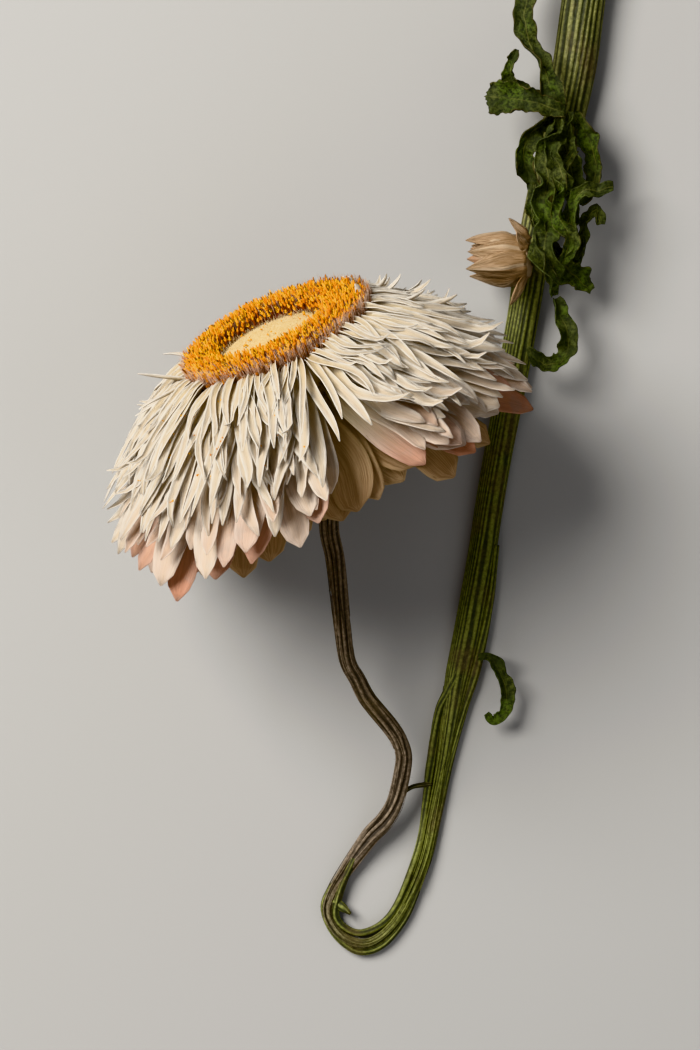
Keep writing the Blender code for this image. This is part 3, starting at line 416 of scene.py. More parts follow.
def head_bract(pile, rng, turn, row, depth):
    """One thin bract of the head, from its root on the seat out to its tip."""
    root_height, root_radius, angle, length, half_width, roundness, curl, twist, pink = row
    rows, lanes = 15, 7 if half_width > 1.1 else 5
    right, front = math.cos(math.radians(turn)), math.sin(math.radians(turn))
    angle -= LEFT_SPREAD * right + TABLE_SIDE_SQUEEZE * max(0.0, -front) ** 1.1
    shorter = max(0.0, math.cos(math.radians(turn - SHORTEST_TURN))) ** 1.5
    length *= rng.uniform(0.86, 1.04) * (1 - FRONT_SHORTER * shorter)
    curled = max(0.0, math.cos(math.radians(turn + 40))) ** 3 * max(0.0, 1 - depth / 3)
    length *= 1 - 0.3 * curled
    half_width *= rng.uniform(0.8, 1.2)
    t = np.linspace(0, 1, rows) ** (1.1 if roundness < 0.5 else 0.85)
    shoulder = rng.uniform(0.75, 1.25) * SHOULDERS[depth]
    flare = rng.uniform(-6, 8)
    hook = rng.choice((0, 0, 1, 1)) * rng.uniform(-60, 70) * (1 - roundness) + 70 * curled
    lean = np.radians(angle + ARCH * (1 - 2 * t) + rng.uniform(-2.5, 2.5)
                      + shoulder * np.exp(-(t * length / SHOULDER_LENGTH) ** 2)
                      + flare * smooth(t, 0.45, 1) + hook * smooth(t, 0.84, 1.0))
    away = turn - PARTING_TURN
    parting = PARTING_SWAY * math.exp(-(away / 18) ** 2) * math.tanh(away / 4) * (depth < 7)
    sway = ((rng.uniform(-6, 6) + parting) * t ** 1.4
            + rng.uniform(-3.0, 3.0) * np.sin(math.pi * t * rng.uniform(0.8, 2.6)))
    step = np.diff(t, prepend=0) * length
    radius = root_radius - 1.6 + np.cumsum(np.sin(lean) * step)
    height = root_height + 0.2 - np.cumsum(np.cos(lean) * step)
    outwards = out_of_axis(turn + sway)
    side = np.cross(AXIS, outwards)
    lean = lean[:, None]
    face = outwards * np.cos(lean) + AXIS * np.sin(lean)
    spin = np.radians(rng.uniform(-14, 14) + rng.uniform(-twist, twist) * t ** 1.3
                      + FACING * right * smooth(t, 0.0, 0.5))[:, None]
    line = CENTRE + outwards * radius[:, None] + AXIS * height[:, None]
    across = side * np.cos(spin) + face * np.sin(spin)
    out = face * np.cos(spin) - side * np.sin(spin)
    widths = petal_widths(t, half_width, roundness)
    curls = curl * rng.uniform(0.6, 1.2) * (1 - 0.55 * smooth(t, 0.5, 1.0) * rng.uniform(0, 1))
    grid = petal_grid(line, across, out, widths, curls, lanes)
    part = np.linspace(-1, 1, lanes)
    phase = rng.uniform(0, 2 * math.pi)
    waves = rng.uniform(1.5, 4.0)
    ruffle = rng.uniform(0.08, 0.28) * widths[:, None] * part ** 2 * np.sin(
        2 * math.pi * waves * t[:, None] + phase + 1.7 * np.sign(part))
    grid = off_table(grid + out[:, None] * ruffle[..., None], rng)
    add_sheet(pile, grid, 0.1, along=t[:, None], across=part[None], chance=rng.random(), pink=pink,
              depth=depth)
    return grid


def off_table(grid, rng):
    """The grid with each of its rows raised, where need be, to lie just above the table."""
    lowest = grid[..., 2].min(axis=1)
    grid[..., 2] += np.maximum(TABLE_CLEARANCE + 0.15 * rng.random() - lowest, 0)[:, None]
    return grid


def stray_bract(pile, rng, turn, start, end, length, half_width):
    """A narrow bract that stands out from the head, bent from one angle to another."""
    t = np.linspace(0, 1, 14)
    lean = np.radians(start + (end - start) * t ** 2.5)[:, None]
    step = (np.diff(t, prepend=0) * length)[:, None]
    outwards = out_of_axis(turn + rng.uniform(-8, 8) * t)
    side = np.cross(AXIS, outwards)
    line = (CENTRE + outwards * (12.0 + np.cumsum(np.sin(lean) * step, axis=0))
            + AXIS * (0.4 - np.cumsum(np.cos(lean) * step, axis=0)))
    face = outwards * np.cos(lean) + AXIS * np.sin(lean)
    spin = np.radians(rng.uniform(-60, 60) + rng.uniform(-90, 90) * t)[:, None]
    across = side * np.cos(spin) + face * np.sin(spin)
    out = face * np.cos(spin) - side * np.sin(spin)
    widths = petal_widths(t, half_width, 0.0)
    grid = petal_grid(line, across, out, widths, np.full(len(t), 1.2), 5)
    add_sheet(pile, off_table(grid, rng), 0.1, along=t[:, None], across=np.linspace(-1, 1, 5)[None],
              chance=rng.random(), pink=0.0, depth=0)


def clump(turn):
    """How far bracts at this turn lean to their neighbours, so that they part into tufts."""
    angle = math.radians(turn)
    return 0.9 * math.sin(17 * angle + 0.7) + 0.8 * math.sin(29 * angle + 2.1)


def ring_surface(pile, profile, sides, **values):
    """A surface turned round the disc's axis from (r, h) points."""
    turns = 360 * np.arange(sides) / sides
    points = np.array([on_disc(np.full(sides, r), turns, np.full(sides, h)) for r, h in profile])
    pile.add(points, grid_faces(len(profile), sides, closed=True), **values)


def make_bracts(material):
    rng = random.Random(31)
    pile = Pile()
    seat = ((5.0, -SEAT_DEPTH), (8.2, -SEAT_DEPTH), (10.0, -3.2), (11.3, -1.2), (11.4, -0.35), (8.0, -0.3))
    ring_surface(pile, seat, 60, along=0.0, across=0.0, chance=0.5, pink=0.0, depth=2.0)
    grids = []
    for depth, (count, *shape) in enumerate(WHITE_ROWS):
        for number in range(count):
            turn = 360 * (number + 0.37 * depth + rng.uniform(-0.3, 0.3)) / count % 360
            if depth > 2 and abs(turn - PARTING_TURN) < PARTING_HALF:
                continue
            grids.append(head_bract(pile, rng, turn + clump(turn), shape, depth))
    for stray in STRAYS:
        stray_bract(pile, rng, *stray)
    return pile.make("bracts_fine", material, "white_bract", "bracts"), grids


def make_outer_bracts(material):
    rng = random.Random(32)
    pile = Pile()
    seat = ((1.6, -10.4), (4.6, -8.8), (7.0, -6.4), (7.4, -SEAT_DEPTH - 0.3), (4.0, -SEAT_DEPTH - 0.3))
    ring_surface(pile, seat, 40, along=0.0, across=0.0, chance=0.5, pink=0.0, depth=6.0)
    for depth, (count, *shape) in enumerate(TAN_ROWS):
        for number in range(count):
            turn = 360 * (number + 0.4 * depth + rng.uniform(-0.2, 0.2)) / count
            head_bract(pile, rng, turn, shape, len(WHITE_ROWS) + depth)
    return pile.make("outer_bracts_fine", material, "tan_bract", "outer_bracts")


def spiral(count, inner, outer):
    """Evenly spread places on a ring: their distances from the axis and turns."""
    number = np.arange(count) + 0.5
    return np.sqrt(inner ** 2 + (outer ** 2 - inner ** 2) * number / count), number * 137.508


def floret_template():
    """A floret's points as x, y, share of its height, with its faces: a tube that opens in five lobes,
    and the knob that stands in it."""
    points, faces = [], []
    for share, radius in ((0.0, 0.10), (0.8, 0.12)):
        for side in range(5):
            angle = 2 * math.pi * side / 5
            points.append((radius * math.cos(angle), radius * math.sin(angle), share))
    for side in range(10):
        angle = 2 * math.pi * side / 10
        radius, share = (0.27, 1.0) if side % 2 == 0 else (0.15, 0.9)
        points.append((radius * math.cos(angle), radius * math.sin(angle), share))
    points.append((0, 0, 0.84))
    for side in range(5):
        after = (side + 1) % 5
        faces += [(side, after, 5 + after), (side, 5 + after, 5 + side)]
        lobe, valley, next_lobe = 10 + 2 * side, 11 + 2 * side, 10 + (2 * side + 2) % 10
        faces += [(5 + side, valley, lobe), (5 + side, 5 + after, valley), (5 + after, next_lobe, valley)]
        faces += [(lobe, valley, 20), (valley, next_lobe, 20)]
    first = len(points)
    for share, radius in ((0.8, 0.06), (1.06, 0.11)):
        for side in range(4):
            angle = 2 * math.pi * side / 4
            points.append((radius * math.cos(angle), radius * math.sin(angle), share))
    points.append((0, 0, 1.13))
    for side in range(4):
        after = (side + 1) % 4
        faces += [(first + side, first + after, first + 4 + after),
                  (first + side, first + 4 + after, first + 4 + side)]
        faces.append((first + 4 + side, first + 4 + after, first + 8))
    return np.array(points), np.array(faces)


def crown(u, turn):
    """Height of the floret tips at this share of the way from the ring's hole to its outside. It is
    lower on the right, where the florets lean out."""
    right = np.clip(np.cos(np.radians(turn + 15)), 0, 1) ** 2
    return RING_HEIGHT * (0.72 + 0.30 * np.sin(np.pi * np.clip(u, 0, 1) ** 0.85)) * (1 - 0.13 * right)


def ring_reach(radius, turn):
    """The distance from the axis, made larger on the right towards the ring's outside."""
    right = np.clip(np.cos(np.radians(turn)), 0, 1) ** 2
    return radius + 0.8 * right * np.clip((radius - RING_HOLE) / (RING_RADIUS - RING_HOLE), 0, 1.1)


def make_florets(material):
    rng = np.random.default_rng(33)
    pile = Pile()
    core = [(RING_HOLE + 0.25, 0.1)]
    core += [(RING_HOLE + 0.25 + u * (RING_RADIUS - RING_HOLE - 1.0), float(crown(u, 0.0)) - 1.15)
             for u in np.linspace(0, 1, 9)]
    core.append((11.4, 0.1))
    ring_surface(pile, core, 90, along=0.0, chance=0.1, shade=0.0)
    template, faces = floret_template()
    radius, turn = spiral(1380, RING_HOLE - 0.05, RING_RADIUS - 0.1)
    u = (radius - RING_HOLE) / (RING_RADIUS - RING_HOLE)
    top = crown(u, turn) + rng.normal(0, 0.2, len(u)) - 0.5 * smooth(u, 0.16, 0.0)
    flank = 420
    radius = np.append(radius, rng.uniform(12.5, 13.2, flank))
    turn = np.append(turn, rng.uniform(0, 360, flank))
    top = np.append(top, rng.uniform(1.3, 3.1, flank))
    u = np.append(u, np.full(flank, 1.15))
    count = len(radius)
    turn = turn + rng.normal(0, 0.8, count)
    radius = ring_reach(radius, turn)
    lean = np.radians(-16 + 38 * u + rng.normal(0, 8, count))
    outwards = out_of_axis(turn)
    sideways = np.cross(AXIS, outwards)
    along = unit(AXIS + outwards * np.tan(lean)[:, None]
                 + sideways * np.tan(np.radians(rng.normal(0, 8, count)))[:, None])
    tip = on_disc(radius, turn, top)
    length = np.clip(top - 0.15, 1.2, 2.8)
    across, over = sides_of(along)
    spin = rng.uniform(0, 2 * np.pi, count)[:, None]
    across, over = across * np.cos(spin) + over * np.sin(spin), over * np.cos(spin) - across * np.sin(spin)
    size = rng.uniform(0.7, 1.2, count)[:, None, None]
    x, y, share = (template[:, axis][None, :, None] for axis in range(3))
    points = (tip[:, None] + (across[:, None] * x + over[:, None] * y) * size
              + along[:, None] * (share - 1) * length[:, None, None])
    first = (np.arange(count) * len(template))[:, None, None] + faces[None]
    chance = np.repeat(rng.random(count), len(template))
    heights = np.tile(template[:, 2], count)
    knob = np.tile(np.arange(len(template)) > 20, count)
    flanks = np.repeat(u > 1.1, len(template))
    pile.add(points, first.reshape(-1, 3), along=heights, chance=chance, shade=1.0 - 0.35 * knob,
             flank=flanks)
    return pile.make("florets_fine", material, "golden_floret", "disc_florets")


def make_pappus(material):
    """The fine hairs among the florets, thickest on the ring's flank."""
    rng = np.random.default_rng(34)
    pile = Pile()
    flank, crest = 2600, 3200
    turn = rng.uniform(0, 360, flank + crest)
    turn[:flank // 3] = rng.normal(0, 42, flank // 3)
    turn[:flank] = np.round(turn[:flank] / 2.6) * 2.6 + rng.normal(0, 0.75, flank)
    outside = np.arange(flank + crest) < flank
    radius = np.where(outside, rng.uniform(12.7, 13.5, flank + crest),
                      rng.uniform(8.2, RING_RADIUS + 0.1, flank + crest))
    radius = ring_reach(radius, turn)
    u = (radius - RING_HOLE) / (RING_RADIUS - RING_HOLE)
    top = np.where(outside, rng.uniform(2.0, 4.1, len(u)) * crown(1.0, turn) / crown(1.0, 180.0),
                   crown(u, turn) + rng.uniform(-0.4, 0.3, len(u)) + 0.7 * smooth(u, 0.5, 1.0) * rng.random(len(u)))
    tip = on_disc(radius, turn + rng.normal(0, 1.0, len(u)), top)
    base_radius = np.where(outside, radius - 1.0, radius - 0.5)
    base = on_disc(base_radius, turn, np.where(outside, rng.uniform(0.0, 0.5, len(u)), top - 2.2))
    middle = (base + tip) / 2 + out_of_axis(turn) * rng.uniform(0.05, 0.3, len(u))[:, None]
    add_needles(pile, base, middle, tip, rng.uniform(0.035, 0.065, len(u)), chance=rng.random(len(u)))
    return pile.make("pappus_hairs", material, "cream_felt")


def make_disc_centre(material):
    rng = np.random.default_rng(35)
    pile = Pile()
    edge = RING_HOLE + 0.1
    shares = np.linspace(1, 0.02, 16)
    profile = [(edge, 0.1)] + [(edge * share, CENTRE_HEIGHT * (1 - 0.5 * share ** 2)) for share in shares]
    ring_surface(pile, profile, 72, along=0.0, chance=0.5, edge=0.0)
    radius, turn = spiral(2600, 0.1, edge)
    share = radius / edge
    height = CENTRE_HEIGHT * (1 - 0.5 * share ** 2)
    base = on_disc(radius, turn, height - 0.1)
    longer = smooth(share, 0.86, 1.0)
    length = rng.uniform(0.15, 0.4, len(radius)) + longer * rng.uniform(0.3, 1.1, len(radius))
    lean = rng.normal(0, 0.25, (len(radius), 3))
    tip = base + unit(AXIS + lean) * length[:, None]
    middle = (base + tip) / 2 + rng.normal(0, 0.03, base.shape)
    add_needles(pile, base, middle, tip, 0.045, chance=rng.random(len(radius)), edge=longer)
    return pile.make("disc_felt", material, "cream_felt", "disc_centre")


def stem_section(line, sides, ribs, depth, rng, twist=0.0):
    """Half sizes of a ribbed stem for each ring and side, with how far each place is up its rib."""
    angle = 2 * np.pi * np.arange(sides) / sides
    rings = len(line)
    run = np.linspace(0, 1, rings)[:, None]
    turned = angle + twist * run
    bent = turned + 0.35 * np.sin(turned + rng.uniform(0, 6)) + 0.12 * np.sin(3 * turned + 9 * run)
    rib = 0.5 + 0.5 * np.cos(ribs * bent)
    rib = rib ** 0.7
    waver = 1 + 0.02 * np.sin(40 * run + 3 * turned)
    scale = (1 + depth * (rib - 0.6)) * waver
    return line[:, 3:4] * scale, line[:, 4:5] * scale, rib


def route_sides(line):
    along = unit(np.gradient(line[:, :3], axis=0))
    across = unit(np.cross(along, UP))
    return across, unit(np.cross(across, along))


def make_stem(material):
    rng = np.random.default_rng(36)
    pile = Pile()
    route = list(STEM) + [(*(CENTRE - AXIS * depth), wide, wide) for depth, wide in STALK_TOP]
    line = through(route, 420)
    run = np.append(0, np.cumsum(np.linalg.norm(np.diff(line[:, :3], axis=0), axis=1)))
    run /= run[-1]
    across, over = route_sides(line)
    wide, high, rib = stem_section(line, 96, 25, 0.085, rng)
    thin_wide, thin_high, thin_rib = stem_section(line, 96, 7, 0.26, rng, twist=9.0)
    blend = smooth(run, 0.50, 0.62)[:, None]
    wide, high, rib = (a * (1 - blend) + b * blend
                       for a, b in ((wide, thin_wide), (high, thin_high), (rib, thin_rib)))
    knots = 1 + 0.07 * np.sin(run * 90)[:, None] * blend * np.sin(run * 37)[:, None]
    side = np.linspace(0, 1, 96)[None]
    add_tube(pile, line[:, :3], across, over, wide * knots, high * knots, rib=rib, run=run[:, None],
             side=side)
    for rows, count, start, end in ((STRAND_LEFT, 110, 0.42, 0.62), (STRAND_RIGHT, 130, 0.36, 0.62)):
        part = through(rows, count)
        across, over = route_sides(part)
        wide, high, rib = stem_section(part, 24, 5, 0.2, rng, twist=4.0)
        add_tube(pile, part[:, :3], across, over, wide, high, rib=rib,
                 run=np.linspace(start, end, count)[:, None], side=np.linspace(0, 0.4, 24)[None])
    for rows, count, place in ((TWIG, 16, 0.66), (TORN_TIP, 10, 0.6), (BUD_BRANCH, 14, 0.2)):
        part = through(rows, count)
        across, over = route_sides(part + np.linspace(0, 1e-3, count)[:, None])
        wide, high, rib = stem_section(part, 20, 5, 0.15, rng)
        add_tube(pile, part[:, :3], across, over, wide, high, rib=rib, run=place)
    add_fibres(pile, rng, line, run)
    for points in pile.points:
        points[:, 2] = np.maximum(points[:, 2], 0.0)
    return pile.make("stem_fine", material, "dry_stem", "stem")


def add_fibres(pile, rng, line, run):
    """Thin fibres that run along the stem and loosen towards the loop and on the stalk, and short fuzz."""
    across, over = route_sides(line)
    for _ in range(46):
        first = rng.integers(150, 385)
        last = min(first + rng.integers(18, 60), len(line) - 2)
        places = np.arange(first, last)
        angle = rng.uniform(-0.2, math.pi + 0.2) + rng.uniform(-0.8, 0.8) * np.linspace(0, 1, len(places))
        lift = 1.02 + rng.uniform(0.0, 0.25) * np.sin(np.linspace(0, math.pi, len(places)))
        loose = np.linspace(0, 1, len(places)) ** 3 * rng.uniform(0, 0.35)
        centres = (line[places, :3]
                   + across[places] * ((line[places, 3] * lift + loose) * np.cos(angle))[:, None]
                   + over[places] * ((line[places, 4] * lift + loose) * np.sin(angle))[:, None])
        thick = rng.uniform(0.07, 0.15) * (1 - 0.6 * np.linspace(0, 1, len(places)))[:, None]
        size = np.broadcast_to(thick, (len(places), 5))
        add_tube(pile, centres, across[places], over[places], size, size, rib=rng.uniform(0.5, 1),
                 run=run[places][:, None])
    count = 900
    place = rng.integers(180, len(line) - 6, count)
    angle = rng.uniform(0, 2 * math.pi, count)[:, None]
    outwards = across[place] * np.cos(angle) + over[place] * np.sin(angle)
    size = np.where(np.abs(np.cos(angle)) > 0.7, line[place, 3:4], line[place, 4:5])
    base = line[place, :3] + outwards * size * 0.93
    tip = base + unit(outwards + rng.normal(0, 0.6, (count, 3))) * rng.uniform(0.2, 0.75, count)[:, None]
    middle = (base + tip) / 2 + rng.normal(0, 0.05, base.shape)
    add_needles(pile, base, middle, tip, 0.022, rib=0.9, run=run[place])


def make_bud(material):
    """The closed bud: pointed bracts that overlap, with a ridge along each, on a core."""
    rng = random.Random(37)
    pile = Pile()
    forwards = unit(BUD_TIP - BUD_BASE)
    sideways = unit(np.cross(forwards, UP))
    upwards = np.cross(sideways, forwards)
    sides = 24
    profile = ((-0.04, 0.35), (0.0, 0.8), (0.3, 0.84), (0.5, 0.7), (0.62, 0.45), (0.7, 0.15))
    rings = []
    for share, wide in profile:
        angle = 2 * np.pi * np.arange(sides)[:, None] / sides
        rings.append(BUD_BASE + forwards * share * 8.8
                     + (sideways * np.cos(angle) + upwards * np.sin(angle)) * BUD_RADIUS * wide)
    pile.add(np.array(rings), grid_faces(len(profile), sides, closed=True), along=0.3, across=0.0,
             chance=0.5, pink=0.0)
    # turn round the bud, start and length along it, half width, splay and bend in degrees, pinkness
    bracts = (
        (66, 0.0, 8.2, 3.0, 8, -4, 0.0), (112, 0.0, 8.4, 2.7, 12, 4, 0.0), (20, 0.2, 8.6, 2.9, 10, -2, 0.1),
        (88, 1.2, 7.4, 2.2, 0, 2, 0.5), (-30, 0.2, 8.2, 2.9, 9, -4, 0.0), (160, 0.2, 8.2, 2.8, 9, -4, 0.0),
        (205, 0.2, 7.8, 2.8, 8, -6, 0.0), (250, 0.2, 8.0, 2.8, 8, -6, 0.0), (295, 0.2, 7.8, 2.8, 8, -6, 0.0),
        (42, 1.6, 7.0, 2.2, -2, 0, 0.4), (140, 1.6, 6.8, 2.2, -2, 0, 0.3), (0, 1.6, 6.8, 2.2, -2, 0, 0.3),
        (185, 1.6, 6.6, 2.2, -2, 0, 0.3), (230, 1.6, 6.6, 2.2, -2, 0, 0.3), (320, 1.6, 6.6, 2.2, -2, 0, 0.3),
        (172, 0.3, 4.6, 1.5, 58, 14, 0.0), (14, -0.4, 4.2, 1.8, 48, 10, 0.0), (50, -0.3, 3.0, 1.3, 40, 60, 0.0),
    )
    for turn, start, length, half_width, splay, bend, pink in bracts:
        angle = math.radians(turn)
        outwards = sideways * math.cos(angle) + upwards * math.sin(angle)
        side = np.cross(forwards, outwards)
        t = np.linspace(0, 1, 16)
        lean = np.radians(splay + 6 * (1 - t) ** 1.5 + (bend - 20) * t + rng.uniform(-2, 2))
        step = np.diff(t, prepend=0) * length
        radius = BUD_RADIUS * 0.84 + np.cumsum(np.sin(lean) * step)
        run = start + np.cumsum(np.cos(lean) * step)
        line = BUD_BASE + forwards * run[:, None] + outwards * radius[:, None]
        out = outwards * np.cos(lean)[:, None] - forwards * np.sin(lean)[:, None]
        across = np.broadcast_to(side, line.shape)
        widths = half_width * (0.8 + 0.2 * smooth(t, 0, 0.3)) * (1 - 0.98 * np.clip((t - 0.3) / 0.7, 0, 1) ** 1.5)
        lanes = 9
        part = np.linspace(-1, 1, lanes)
        grid = petal_grid(line, across, -out, widths, np.full(len(t), 0.95), lanes)
        ridge = 0.35 * np.exp(-(part / 0.16) ** 2) * widths[:, None] * smooth(t, 0.1, 0.4)[:, None]
        crease = 0.1 * np.sin(3.1 * part * math.pi + 5 * t[:, None] + rng.uniform(0, 6)) * widths[:, None]
        grid = grid + out[:, None] * (ridge + crease)[..., None]
        add_sheet(pile, grid, 0.12, along=t[:, None], across=part[None], chance=rng.random(), pink=pink)
    return pile.make("bud_fine", material, "bud_bract", "bud")


def crumple(points, seed, size):
    """A smooth random shift of each point, the same for points that lie together."""
    rng = np.random.default_rng(seed)
    shift = np.zeros_like(points)
    for _ in range(9):
        wave = unit(rng.normal(0, 1, 3)) * 2 * np.pi / rng.uniform(1.1, 4.0)
        shift += unit(rng.normal(0, 1, 3)) * np.sin(points @ wave + rng.uniform(0, 6.3))[..., None]
    return shift * size / 3


def leaf_grid(rows, count, lanes, seed, wave=0.32, rough=0.2, torn=False):
    """A crinkled leaf along its route: rolled, folded along its midrib, waved at its edges."""
    rng = np.random.default_rng(seed)
    line = through(rows, count)
    along = unit(np.gradient(line[:, :3], axis=0))
    level = unit(np.cross(along, UP))
    over = np.cross(level, along)
    roll, fold = np.radians(line[:, 4])[:, None], np.radians(line[:, 5])[:, None, None]
    across = level * np.cos(roll) + over * np.sin(roll)
    face = over * np.cos(roll) - level * np.sin(roll)
    part = np.linspace(-1, 1, lanes)
    t = np.linspace(0, 1, count)[:, None]
    width = line[:, 3:4] * (1 + 0.07 * np.sin(t * 31 + rng.uniform(0, 6)) + 0.05 * np.sin(t * 67))
    turns = rng.uniform(2.6, 4.2, 2)[(part > 0).astype(int)]
    phase = rng.uniform(0, 6.3, 2)[(part > 0).astype(int)]
    ruffle = wave * width * np.abs(part) ** 1.5 * np.sin(phase + 2 * np.pi * turns * t)
    margin = np.clip(np.abs(part) - 0.55, 0, 1)
    rolled = 3.6 * margin * (0.75 + 0.55 * np.sin(phase * 2 + 9 * t))
    curl = margin * width * (1 - np.cos(rolled)) / np.maximum(rolled, 0.01)
    reach = np.sign(part) * width * (np.minimum(np.abs(part), 0.55)
                                     + margin * np.sin(rolled) / np.maximum(rolled, 0.01))
    grid = (line[:, None, :3] + across[:, None] * reach[..., None] * np.cos(fold)
            + face[:, None] * (np.abs(reach)[..., None] * np.sin(fold) + (ruffle + curl)[..., None]))
    rib = 0.14 * np.exp(-(part / 0.07) ** 2) * np.ones_like(t)
    vein = 0.05 * np.sin((t * 26 - np.abs(part) * 3.2) * 2) * (1 - np.exp(-(part / 0.2) ** 2))
    grid = grid + face[:, None] * (rib + vein)[..., None] + crumple(grid, seed + 100, rough)
    if torn:
        last = rng.uniform(-0.35, 0.35, lanes) + 0.5 * np.cos(part * 3.1)
        grid[-1] += along[-1] * last[:, None] * 0.6
    return grid, t, part


def add_leaf(pile, rows, seed, count=90, lanes=21, clear=0.0, **shape):
    grid, t, part = leaf_grid(rows, count, lanes, seed, **shape)
    grid[..., 2] = np.maximum(grid[..., 2], 0.15) + clear
    chance = np.random.default_rng(seed).random()
    add_sheet(pile, grid, 0.14, along=t, across=part[None], chance=chance)


def make_leaves(material):
    single = (
        ("leaf_top", LEAF_TOP, 50, {}), ("leaf_left", LEAF_LEFT, 51, {"torn": True, "rough": 0.12}),
        ("leaf_left_back", LEAF_LEFT_BACK, 52, {}), ("leaf_hanging", LEAF_HANGING, 53, {}),
        ("leaf_small", LEAF_SMALL, 54, {"rough": 0.1}),
    )
    for node, rows, seed, shape in single:
        pile = Pile()
        add_leaf(pile, rows, seed, **shape)
        pile.make(node + "_fine", material, "dry_leaf", node)
    pile = Pile()
    for number, rows in enumerate(CLUSTER.values()):
        add_leaf(pile, rows, 60 + number, wave=0.42, rough=0.28)
    pile.make("leaf_cluster_fine", material, "dry_leaf", "leaf_cluster")


def add_grain(pile, rng, place, size):
    """A pollen grain: an eight-sided crumb."""
    turned = unit(np.array([[rng.gauss(0, 1) for _ in range(3)] for _ in range(2)]))
    a = turned[0]
    b = unit(np.cross(a, turned[1]))
    c = np.cross(a, b)
    corners = [place + sign * way * size * rng.uniform(0.7, 1.2) for way in (a, b, c) for sign in (1, -1)]
    faces = [(0, 2, 4), (2, 1, 4), (1, 3, 4), (3, 0, 4), (2, 0, 5), (1, 2, 5), (3, 1, 5), (0, 3, 5)]
    pile.add(corners, faces, along=0.97, chance=rng.random(), shade=1.0)


def make_pollen(material, grids):
    """Pollen grains fallen on the bracts and on the pale middle."""
    rng = random.Random(38)
    pile = Pile()
    chosen = 0
    while chosen < 60:
        grid = rng.choice(grids[40:240])
        row = rng.randrange(3, 13)
        lane = rng.choice((1, 2, 3))
        place = grid[row, lane]
        from_head = place - CENTRE
        if from_head @ TOP < 2 or from_head @ RIGHT > rng.uniform(-14, 8):
            continue
        for _ in range(rng.choice((1, 1, 2, 3))):
            spot = place + np.array([rng.gauss(0, 0.16) for _ in range(2)] + [0.06])
            add_grain(pile, rng, spot, rng.uniform(0.09, 0.18))
        chosen += 1
    for _ in range(16):
        radius, turn = 6.0 * math.sqrt(rng.random()), rng.uniform(0, 360)
        spot = on_disc(radius, turn, CENTRE_HEIGHT * (1 - 0.5 * (radius / RING_HOLE) ** 2) + 0.3)
        for _ in range(rng.choice((1, 2, 3, 5))):
            shifted = spot + np.array([rng.gauss(0, 0.18) for _ in range(3)])
            add_grain(pile, rng, shifted, rng.uniform(0.1, 0.2))
    return pile.make("pollen_grains", material, "golden_floret")


